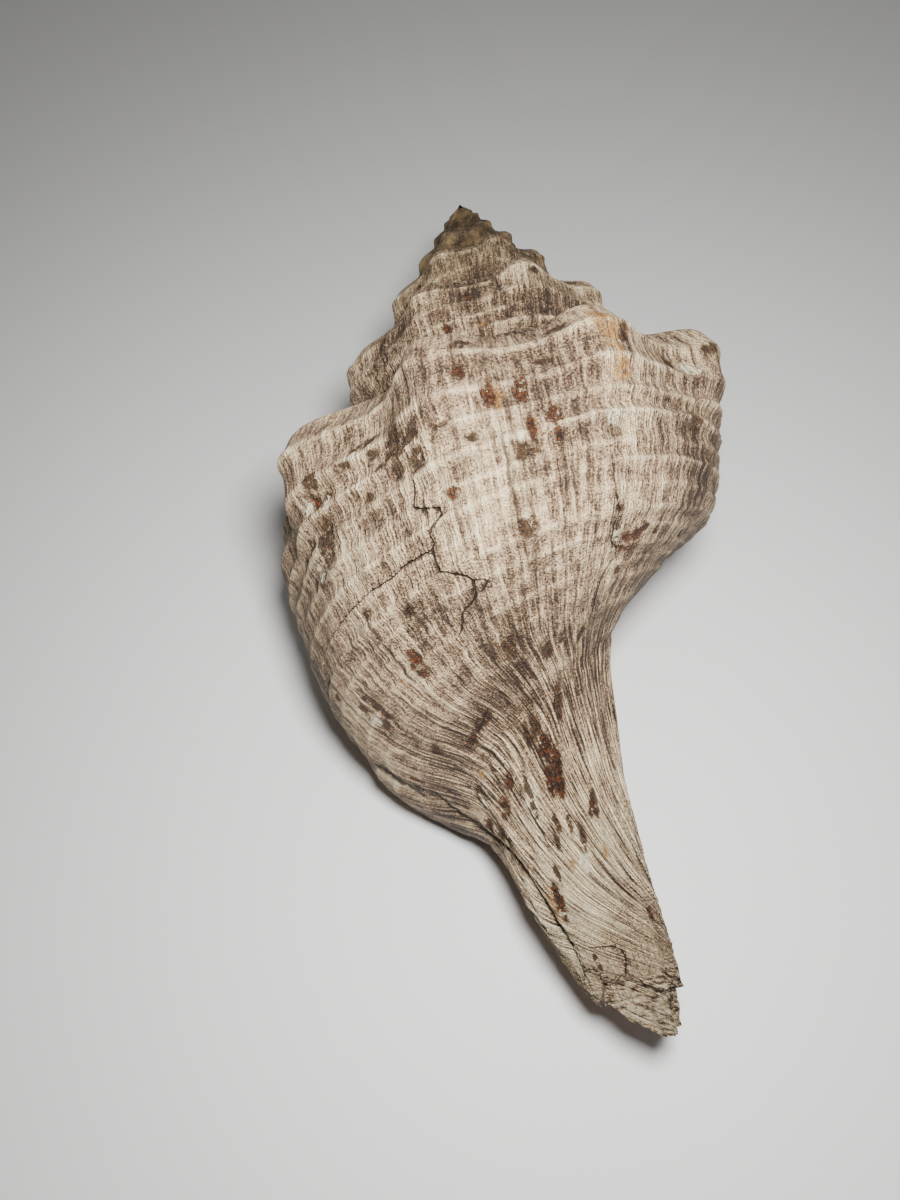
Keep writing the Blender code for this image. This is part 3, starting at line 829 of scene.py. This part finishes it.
def layer_inside(u, v):
    """Radius of the layer below the outer one, in millimetres: narrower on its right side."""
    narrow = between(-u, (0.40, 0.50), (0.80, 0.95)) * ramp(v, 0.93, 1.0)
    return outside_radius(u, np.minimum(v, 1.0)) - LAYER_STEP - LAYER_NARROWS * narrow + layered(u, v, STRATA)


def lost_layer():
    """What the outer layer has lost at the tip, past its jagged edge."""
    us = np.linspace(0.0, -1.0, LAYER_COLUMNS, endpoint=False)
    known = np.array(sorted(LAYER_EDGE))
    edges = np.interp(us, known[:, 0], known[:, 1]) + 0.0010 * noise(us * 90, 0 * us, 43)
    sections, growth = [], []
    for u, edge in zip(us, edges):
        v = np.linspace(edge, 1.04, LAYER_ROWS)
        a = distance(u, np.minimum(v, 1.0)) + np.maximum(v - 1.0, 0) * 200
        ring = place(angle(u), a, layer_inside(u, v))
        outer = place(angle(u), a[[-1, 0]], np.array([45.0, 45.0]))
        sections.append(np.concatenate([ring, outer]))
        growth.append([(u, at) for at in v] + [(u, v[-1]), (u, v[0])])
    made = loft("lost_layer", sections, growth, closed=True)
    wall = LAYER_ROWS + 1
    # The wall at the layer's edge takes the second, darker material: partly dirt, partly painted shadow at
    # the step
    for face in made.data.polygons:
        if face.index % (LAYER_ROWS + 2) == wall:
            face.material_index = 1
    return made


def tip_break():
    """What is missing from the tip: everything past a jagged, slanting edge."""
    us = np.linspace(0.0, -1.0, TIP_COLUMNS, endpoint=False)
    known = np.array(sorted(TIP_EDGE))
    v = np.interp(us, known[:, 0], known[:, 1])
    a = layered(us, 0 * us, RAGGED_TIP, distance(us, v))
    middle = float(np.mean(a))
    sections = [place(angle(us), np.full(len(us), LENGTH + 20.0), np.full(len(us), 40.0))]
    for r, pull in ((40.0, 0.0), (20.0, 0.0), (9.0, 0.15), (5.0, 0.5), (0.5, 1.0)):
        sections.append(place(angle(us), a * (1 - pull) + middle * pull, np.full(len(us), r)))
    return loft("tip_break", sections)


def floor_block():
    """A block below the surface that the shell lies on: it wears tiny flats where it rests."""
    bpy.ops.mesh.primitive_cube_add(size=1.0, location=(0.0, 0.0, -0.05))
    block = bpy.context.object
    block.name = "worn_flat"
    block.data.transform(Matrix.Translation((0, 0, -0.05)) @ Matrix.Diagonal((0.6, 0.6, 0.1, 1.0)))
    block.location = (0, 0, 0)
    return block


def cut(target, cutters):
    """Takes each cutter out of the target, in turn, and removes the cutter."""
    for cutter in cutters:
        modifier = target.modifiers.new(cutter.name, "BOOLEAN")
        modifier.operation = "DIFFERENCE"
        modifier.solver = "EXACT"
        modifier.material_mode = "TRANSFER"
        modifier.object = cutter
        bpy.ops.object.select_all(action="DESELECT")
        bpy.context.view_layer.objects.active = target
        target.select_set(True)
        bpy.ops.object.modifier_apply(modifier=modifier.name)
        bpy.data.objects.remove(cutter, do_unlink=True)


def stray_stains():
    """Stains of all kinds on the sides that the listed ones leave bare."""
    draw = np.random.default_rng(STAIN_SEED)
    kinds = {"rust": [], "amber": [], "brown": []}
    for k in range(RANDOM_STAINS):
        u = draw.uniform(-3.0, 0.0)
        v = draw.uniform(0.05, 0.9 if u > -1.0 else 0.36)
        kind = draw.choice(["rust", "brown", "brown", "amber"])
        wide, long = draw.uniform(0.002, 0.007), draw.uniform(0.004, 0.016)
        listed = -0.56 < u < -0.10 and v > 0.18
        if not listed:
            kinds[kind].append((u, v, wide, long))
    return kinds


def girth(v):
    """Millimetres round the shell for one turn, at each place along the edge."""
    return 2 * math.pi * plain_radius(MIDDLE, v)


def crack_distance(u, v, along):
    """Signed distance to the nearest crack, in millimetres, as a share of that crack's half width."""
    nearest = np.full(len(u), FAR)
    table_v, table_along = along
    for run, width in CRACKS:
        for (u0, v0), (u1, v1) in zip(run, run[1:]):
            near = (np.abs(u - (u0 + u1) / 2) < 0.03) & (np.abs(v - (v0 + v1) / 2) < 0.04)
            if not near.any():
                continue
            round_here = girth((v0 + v1) / 2)
            x, y = (u[near] - u0) * round_here, np.interp(v[near], table_v, table_along)
            start, end = np.interp([v0, v1], table_v, table_along)
            y = y - start
            dx, dy = (u1 - u0) * round_here, end - start
            length = math.hypot(dx, dy)
            t = np.clip((x * dx + y * dy) / length ** 2, 0, 1)
            side = np.sign(x * dy - y * dx)
            apart = np.hypot(x - t * dx, y - t * dy) * side / (width / 2)
            nearest[near] = np.where(np.abs(apart) < np.abs(nearest[near]), apart, nearest[near])
    return nearest


def line_distance(u, v):
    """Signed distance to the nearest dark growth line, in half widths, and how strong that line is."""
    s = u + sweep(v)
    nearest, strength = np.full(len(u), FAR), np.zeros(len(u))
    for at, first, last, wide, dark in DARK_LINES:
        drift = 0.0022 * noise(v * 14, 0 * v + at * 100, 81) + 0.0008 * noise(v * 60, 0 * v + at * 50, 82)
        apart = (s - at + drift) / wide
        inside = (v > first) & (v < last)
        closer = inside & (np.abs(apart) < np.abs(nearest))
        nearest[closer] = apart[closer]
        fades = ramp(v, first, first + 0.02) * (1 - ramp(v, last - 0.02, last))
        strength[closer] = dark * fades[closer]
    return nearest, strength


def cord_tones(u, v):
    """The pale crest of each cord, partly worn and partly painted highlight, and the darker strip just past
    it, partly stain and partly painted shade under the cord.
    """
    crest, under = 0.0, 0.0
    for k, (at, height, width) in enumerate(CORDS):
        off = off_cord(u, v, k)
        broken = np.clip(0.7 + 0.8 * noise(u * 90, 0 * u + k * 3.3, 8), 0, 1.3)
        crest = crest + height * broken * bell(off, CREST_WIDTH * width)
        under = under + height * bell(off - STAIN_AND_SHADE_PAST * width, STAIN_AND_SHADE_WIDTH * width)
    return np.clip(crest, 0, 1), np.clip(under, 0, 1)


def add_growth_attributes(thing):
    """Puts what follows the growth on every corner: a map in millimetres, and masks."""
    mesh = thing.data
    pairs = np.zeros(len(mesh.loops) * 2)
    mesh.uv_layers["growth"].data.foreach_get("uv", pairs)
    u, v = pairs[0::2], pairs[1::2]
    table_v, along = length_along()
    s = u + sweep(v)
    grain = np.stack([s * GIRTH, np.interp(v, table_v, along)], -1)
    mesh.uv_layers.new(name="grain").data.foreach_set("uv", grain.ravel())

    strays = stray_stains()
    to_crack = crack_distance(u, v, (table_v, along))
    to_line, line_share = line_distance(u, v)
    crest, under = cord_tones(u, v)
    canal = ramp(v, 0.60, 0.76)
    nose = np.clip(knob_height(u) / TALL_KNOB * bell(v - 0.21, 0.05), 0, 1)
    ledge = 1 - ramp(v, 0.11, 0.17)
    halo = bell(to_crack, HALO)
    patchy = np.clip(0.5 + 1.5 * noise(u * 24, v * 12, 93), 0, 1)
    pits = np.clip(0.5 - layered(u, v, LUMPS) - 1.2 * growth_relief(u, v), 0, 1) - 0.5
    # Crests: paler, partly worn, partly painted highlight; the strip under each cord: darker, partly stain,
    # partly painted shade
    paler = 0.05 * np.clip(layered(s, v, MOTTLE), -1, 1) + 0.30 * (crest - 0.1) + 0.09 * nose
    # Darker on the right side, past u -0.42: partly its greyer colour, partly painted shade of the side
    # turned from the lamp
    darker = 0.14 * pits + 0.03 * under + 0.13 * ledge + 0.08 * ramp(-u, 0.42, 0.52)
    # Paler along the canal: partly its own colour, partly painted light, as the canal lies nearest the lamp
    along_edge = 0.28 * ramp(v, 0.70, 0.84) - 0.06 * ramp(v, 0.89, 0.93) - 0.03 * ramp(v, 0.46, 0.54)
    stained = (0.30 + 0.50 * under) * (1 - 0.7 * nose) * patchy + 0.15 * canal + 0.7 * halo + 0.4 * ledge
    masks = {
        "tone": 0.48 + paler - darker + along_edge,
        "stained": np.clip(stained, 0, 1),
        "strata": ramp(v, 0.925, 0.94),
        "veined": 0.35 + 0.65 * np.maximum(canal, 0.6 * ledge),
        "old": 0.85 * ramp(-u, 1.5, 3.6),
        "rust": soft_spots(u, v, list(RUST) + strays["rust"]),
        "amber": soft_spots(u, v, list(AMBER) + strays["amber"]),
        "brown": soft_spots(u, v, list(BROWN) + strays["brown"]),
        "chips": soft_spots(u, v, CHIPS),
        "groove": bell(u - GROOVE(v), GROOVE_DARK_WIDTH) * between(v, (0.56, 0.62), (0.90, 0.94)) * (u > -1),
        "to_crack": np.clip(to_crack, -9, 9),
        "near_crack": (np.abs(to_crack) < 8).astype(float),
        "to_line": np.clip(to_line, -4, 4),
        "line_share": line_share * (np.abs(to_line) < 3.5),
    }
    for name, values in masks.items():
        layer = mesh.attributes.new(name, "FLOAT", "CORNER")
        layer.data.foreach_set("value", values.astype(np.float32))


# The skin's tones, from its darkest, in stains, pits and painted shade, to its palest, on worn crests with
# painted highlight
SKIN_TONES = ((0.12, "#33271D"), (0.31, "#6D5640"), (0.45, "#A68C6F"), (0.57, "#CBB08A"), (0.72, "#E2CBA1"),
              (0.92, "#F9E8C6"))
# Noise through the solid: name, size in millimetres, detail, roughness, weight in the tone
SOLID_NOISE = (("broad", 28.0, 2.0, 0.5, 0.36), ("blot", 6.0, 3.0, 0.6, 0.46), ("crumb", 1.4, 2.0, 0.6, 0.50),
               ("sand", 0.5, 2.0, 0.7, 1.05), ("ragged", 1.8, 4.0, 0.7, 0.0), ("speck", 0.9, 2.0, 0.6, 0.0))
# Noise on the growth map: name, millimetres across and along the growth lines, detail, weight in the tone
GROWTH_NOISE = (("fine", 0.6, 5.0, 1.0, 0.38), ("middle", 1.6, 14.0, 2.0, 0.25),
                ("wide", 6.0, 40.0, 2.0, 0.20),
                ("layers", 14.0, 1.0, 3.0, 0.0), ("ridge", 4.4, 60.0, 3.0, 0.0))
# Noise that counts only under a mask: noise, mask, weight in the tone
MASKED_NOISE = (("middle", "veined", 1.1), ("layers", "strata", 1.8))
# Weight of each noise in the bump
ROUGH_NOISE = (("sand", 0.6), ("crumb", 0.5), ("fine", 0.65))
# Stains, and the darkening along the groove: mask, threshold, strength, darkest and palest colour, rise in
# the bump
STAINS = (
    ("amber", 0.16, 0.75, "#8A5E2A", "#C4924E", -0.1),
    ("brown", 0.10, 0.95, "#1E120A", "#5C3C1E", -0.9),
    ("rust", 0.12, 0.97, "#1A0D07", "#703A14", -1.0),
    ("chips", 0.14, 0.90, "#DCCBAA", "#F6EACD", 0.5),
    ("groove", 0.15, 0.90, "#2A1F17", "#4B3A2B", -1.0),
)
# Lines: distance mask, share mask, half widths at which they fade and end, strength, depth in the bump
LINES = (("to_line", "line_share", 0.4, 1.2, 0.85, -0.6), ("to_crack", "near_crack", 0.5, 1.1, 0.92, -1.4))


# The dark flecks' weight in the tone, the stains' soft edge, and how ragged the lines are, in half widths
FLECKS = -0.40
SOFT_EDGE = 0.30
LINE_RAGGED = 1.3
# Inputs of a colour mix, and its output
SHARE, FROM, TO, MIXED = 0, 6, 7, 2


def linear(code):
    """An sRGB hex colour as linear values."""
    shares = [int(code[k:k + 2], 16) / 255 for k in (1, 3, 5)]
    return (*[c / 12.92 if c <= 0.04045 else ((c + 0.055) / 1.055) ** 2.4 for c in shares], 1.0)


def add(tree, kind, inputs=None, **settings):
    """Adds a node with its settings. An input takes a value, a socket, or a node's first output."""
    made = tree.nodes.new("ShaderNode" + kind)
    for name, value in settings.items():
        setattr(made, name, value)
    for name, value in (inputs or {}).items():
        if isinstance(value, bpy.types.Node):
            value = [output for output in value.outputs if output.enabled][0]
        if isinstance(value, bpy.types.NodeSocket):
            tree.links.new(value, made.inputs[name])
        else:
            made.inputs[name].default_value = value
    return made


def new_material(name):
    material = bpy.data.materials.new(name)
    material.use_nodes = True
    tree = material.node_tree
    return material, tree, tree.nodes["Principled BSDF"]


def weathered_shell():
    """Aragonite whose skin sea and sand wore away: it looks chalky and sandy, with stains in its pits."""
    material, tree, surface = new_material("weathered_aragonite")
    solid = add(tree, "TexCoord").outputs["Object"]
    growth = add(tree, "UVMap", uv_map="grain")
    masks = {name: add(tree, "Attribute", attribute_name=name).outputs["Fac"] for name in MASKS}
    noises = {}
    for name, size, detail, rough, weight in SOLID_NOISE:
        inputs = {"Vector": solid, "Scale": 1 / (size * MM), "Detail": detail, "Roughness": rough}
        noises[name] = add(tree, "TexNoise", inputs)
    for name, across, along, detail, weight in GROWTH_NOISE:
        there = add(tree, "VectorMath", {0: growth, 1: (1 / across, 1 / along, 1.0)}, operation="MULTIPLY")
        inputs = {"Vector": there, "Scale": 1.0, "Detail": detail}
        noises[name] = add(tree, "TexNoise", inputs, noise_dimensions="2D")
    weights = [("tone", 1.0)] + [(row[0], row[-1]) for row in SOLID_NOISE + GROWTH_NOISE if row[-1] > 0]
    tone = 0.5 - sum(weight for name, weight in weights) / 2
    for name, weight in weights:
        tone = add(tree, "Math", {0: {**masks, **noises}[name], 1: weight, 2: tone}, operation="MULTIPLY_ADD")
    for name, mask, weight in MASKED_NOISE:
        off = add(tree, "Math", {0: noises[name], 1: 0.5}, operation="SUBTRACT")
        off = add(tree, "Math", {0: off, 1: masks[mask]}, operation="MULTIPLY")
        tone = add(tree, "Math", {0: off, 1: weight, 2: tone}, operation="MULTIPLY_ADD")
    flecks = add(tree, "MapRange", {"Value": noises["crumb"], "From Min": 0.50, "From Max": 0.64})
    flecks = add(tree, "Math", {0: flecks, 1: masks["stained"]}, operation="MULTIPLY")
    tone = add(tree, "Math", {0: flecks, 1: FLECKS, 2: tone}, operation="MULTIPLY_ADD")
    skin = add(tree, "ValToRGB", {"Fac": tone})
    for at, code in SKIN_TONES[1:-1]:
        skin.color_ramp.elements.new(at)
    for element, (at, code) in zip(skin.color_ramp.elements, SKIN_TONES):
        element.position = at
        element.color = linear(code)

    off = add(tree, "Math", {0: noises["ridge"], 1: 0.5}, operation="SUBTRACT")
    off = add(tree, "Math", {0: off}, operation="ABSOLUTE")
    inputs = {"Value": off, "From Min": 0.008, "From Max": 0.036, "To Min": 1.0, "To Max": 0.0}
    vein = add(tree, "MapRange", inputs)
    vein = add(tree, "Math", {0: vein, 1: masks["veined"]}, operation="MULTIPLY")
    skin = add(tree, "Mix", {SHARE: vein, FROM: skin, TO: linear("#35261A")}, data_type="RGBA")
    patch = add(tree, "MapRange", {"Value": noises["blot"], "From Min": 0.40, "From Max": 0.62})
    inputs = {SHARE: patch, FROM: linear("#3A2C1B"), TO: linear("#8F7550")}
    brown = add(tree, "Mix", inputs, data_type="RGBA")
    skin = add(tree, "Mix", {SHARE: masks["old"], FROM: skin, TO: brown}, data_type="RGBA")

    height = add(tree, "Math", {0: tone, 1: 0.7, 2: 0.0}, operation="MULTIPLY_ADD")
    for value, weight in [(noises[name], weight) for name, weight in ROUGH_NOISE] + [(vein, -0.6)]:
        height = add(tree, "Math", {0: value, 1: weight, 2: height}, operation="MULTIPLY_ADD")
    ragged = add(tree, "Math", {0: noises["ragged"], 1: 5.0, 2: -1.75}, operation="MULTIPLY_ADD")
    speck = add(tree, "MapRange", {"Value": noises["speck"], "From Min": 0.44, "From Max": 0.66})
    for name, threshold, strength, dark, pale, rise in STAINS:
        level = add(tree, "Math", {0: masks[name], 1: ragged}, operation="MULTIPLY")
        inputs = {"Value": level, "From Min": threshold, "From Max": threshold + SOFT_EDGE,
                  "To Max": strength}
        share = add(tree, "MapRange", inputs)
        colour = add(tree, "Mix", {SHARE: speck, FROM: linear(dark), TO: linear(pale)}, data_type="RGBA")
        skin = add(tree, "Mix", {SHARE: share, FROM: skin, TO: colour}, data_type="RGBA")
        height = add(tree, "Math", {0: share, 1: rise, 2: height}, operation="MULTIPLY_ADD")
    for name, present, fades, ends, strength, depth in LINES:
        apart = add(tree, "Math", {0: masks[name]}, operation="ABSOLUTE")
        inputs = {0: noises["crumb"], 1: -2 * LINE_RAGGED, 2: apart}
        apart = add(tree, "Math", inputs, operation="MULTIPLY_ADD")
        inputs = {"Value": apart, "From Min": fades - LINE_RAGGED, "From Max": ends - LINE_RAGGED,
                  "To Min": strength, "To Max": 0.0}
        core = add(tree, "MapRange", inputs)
        core = add(tree, "Math", {0: core, 1: masks[present]}, operation="MULTIPLY")
        skin = add(tree, "Mix", {SHARE: core, FROM: skin, TO: linear("#2A1E15")}, data_type="RGBA")
        height = add(tree, "Math", {0: core, 1: depth, 2: height}, operation="MULTIPLY_ADD")
    tree.links.new(skin.outputs[MIXED], surface.inputs["Base Color"])
    bump = add(tree, "Bump", {"Strength": 1.0, "Distance": 0.0009, "Height": height})
    tree.links.new(bump.outputs["Normal"], surface.inputs["Normal"])
    surface.inputs["Roughness"].default_value = 0.72
    surface.inputs["IOR"].default_value = 1.53
    surface.inputs["Specular IOR Level"].default_value = 0.35
    return material


def glazed_inside():
    """The smooth inner glaze of the mouth and canal, laid down by the animal: peach, with a wet shine."""
    material, tree, surface = new_material("peach_nacre_glaze")
    solid = add(tree, "TexCoord").outputs["Object"]
    cloud = add(tree, "TexNoise", {"Vector": solid, "Scale": 1 / (22.0 * MM), "Detail": 2.0})
    cloud = add(tree, "MapRange", {"Value": cloud, "From Min": 0.35, "From Max": 0.65})
    glaze = add(tree, "Mix", {SHARE: cloud, FROM: linear("#C9814E"), TO: linear("#E0A677")}, data_type="RGBA")
    tree.links.new(glaze.outputs[MIXED], surface.inputs["Base Color"])
    surface.inputs["Roughness"].default_value = 0.28
    surface.inputs["IOR"].default_value = 1.53
    surface.inputs["Coat Weight"].default_value = 0.25
    ripple = add(tree, "TexNoise", {"Vector": solid, "Scale": 1 / (6.0 * MM), "Detail": 2.0})
    bump = add(tree, "Bump", {"Strength": 0.5, "Distance": 0.0006, "Height": ripple})
    tree.links.new(bump.outputs["Normal"], surface.inputs["Normal"])
    return material


def broken_edge(name, pale, deep):
    """Broken shell seen from its edge: thin layers, split and stained, with a dry crumbling face, in the
    colours given;
    the dark pair on the outer layer's step also paints the shadow at that step.
    """
    material, tree, surface = new_material(name)
    solid = add(tree, "TexCoord").outputs["Object"]
    inputs = {"Vector": solid, "Scale": 1 / (0.8 * MM), "Detail": 3.0, "Roughness": 0.6}
    layers = add(tree, "TexNoise", inputs)
    stain = add(tree, "TexNoise", {"Vector": solid, "Scale": 1 / (5.0 * MM), "Detail": 2.0})
    both = add(tree, "Math", {0: layers, 1: stain}, operation="ADD")
    share = add(tree, "MapRange", {"Value": both, "From Min": 0.80, "From Max": 1.20})
    colour = add(tree, "Mix", {SHARE: share, FROM: linear(pale), TO: linear(deep)}, data_type="RGBA")
    tree.links.new(colour.outputs[MIXED], surface.inputs["Base Color"])
    surface.inputs["Roughness"].default_value = 0.75
    bump = add(tree, "Bump", {"Strength": 0.8, "Distance": 0.0005, "Height": layers})
    tree.links.new(bump.outputs["Normal"], surface.inputs["Normal"])
    return material


def pale_floor():
    """A plain pale painted board under the shell."""
    bpy.ops.mesh.primitive_plane_add(size=FLOOR_SIZE)
    floor = bpy.context.object
    floor.name = "pale_floor"
    material, tree, surface = new_material("matt_painted_board")
    solid = add(tree, "TexCoord").outputs["Object"]
    cloud = add(tree, "TexNoise", {"Vector": solid, "Scale": 1 / (350.0 * MM), "Detail": 2.0})
    inputs = {SHARE: cloud, FROM: linear("#DBDAD8"), TO: linear("#E4E3E1")}
    colour = add(tree, "Mix", inputs, data_type="RGBA")
    tree.links.new(colour.outputs[MIXED], surface.inputs["Base Color"])
    surface.inputs["Roughness"].default_value = 0.6
    floor.data.materials.append(material)
    return floor


def soft_light(name, place_at, aim, size, power):
    lamp = bpy.data.lights.new(name, "AREA")
    lamp.shape = "DISK"
    lamp.size = size
    lamp.energy = power
    made = bpy.data.objects.new(name, lamp)
    bpy.context.scene.collection.objects.link(made)
    made.location = place_at
    made.rotation_euler = (Vector(aim) - Vector(place_at)).to_track_quat("-Z", "Y").to_euler()


def lights_and_world():
    soft_light("key", KEY_PLACE, AIM, KEY_SIZE, KEY_POWER)
    soft_light("fill", FILL_PLACE, AIM, FILL_SIZE, FILL_POWER)
    world = bpy.data.worlds.new("pale_room")
    world.use_nodes = True
    world.node_tree.nodes["Background"].inputs["Color"].default_value = linear("#F2F1EF")
    world.node_tree.nodes["Background"].inputs["Strength"].default_value = WORLD_STRENGTH
    bpy.context.scene.world = world


def camera():
    data = bpy.data.cameras.new("view")
    data.sensor_width = SENSOR
    data.lens = LENS
    made = bpy.data.objects.new("view", data)
    bpy.context.scene.collection.objects.link(made)
    turn = (Matrix.Rotation(math.radians(-CAMERA_YAW), 4, "Z")
            @ Matrix.Rotation(math.radians(90 - CAMERA_PITCH), 4, "X")
            @ Matrix.Rotation(math.radians(CAMERA_ROLL), 4, "Z"))
    made.matrix_world = Matrix.Translation(Vector(CAMERA_PLACE) * MM) @ turn
    bpy.context.scene.camera = made


def keep_in_box(thing, corners):
    """Moves what stands out of the solid's box onto its faces."""
    low, high = np.array(corners[0]), np.array(corners[1])
    points = np.zeros(len(thing.data.vertices) * 3)
    thing.data.vertices.foreach_get("co", points)
    kept = np.clip(points.reshape(-1, 3), low, high)
    thing.data.vertices.foreach_set("co", kept.ravel())
    thing.data.update()


def finished_shell():
    shell = solid_of_growth()
    skin = weathered_shell()
    inside = glazed_inside()
    # The step's darker colours are partly dirt under the outer layer and partly painted shadow at the step
    edge = broken_edge("layer_step_shadow_and_broken_edge", "#7A6753", "#3A2C21")
    shell.data.materials.append(skin)
    layer = lost_layer()
    layer.data.materials.append(skin)
    layer.data.materials.append(edge)
    tip = tip_break()
    tip.data.materials.append(broken_edge("broken_tip", "#B4A28A", "#5B4736"))
    slot, bore, mouth = canal_slot(), canal_bore(), hollow()
    for thing in (slot, bore, mouth):
        thing.data.materials.append(inside)
    block = floor_block()
    block.data.materials.append(skin)
    cut(shell, [mouth, bore, slot, layer, tip, block])
    keep_in_box(shell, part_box("shell"))
    add_growth_attributes(shell)
    bpy.ops.object.shade_smooth_by_angle(angle=math.radians(SMOOTH_BELOW))
    return shell


bpy.ops.object.select_all(action="DESELECT")
shell_skin = finished_shell()
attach(shell_skin, "root")
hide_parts("shell")
pale_floor()
lights_and_world()
camera()
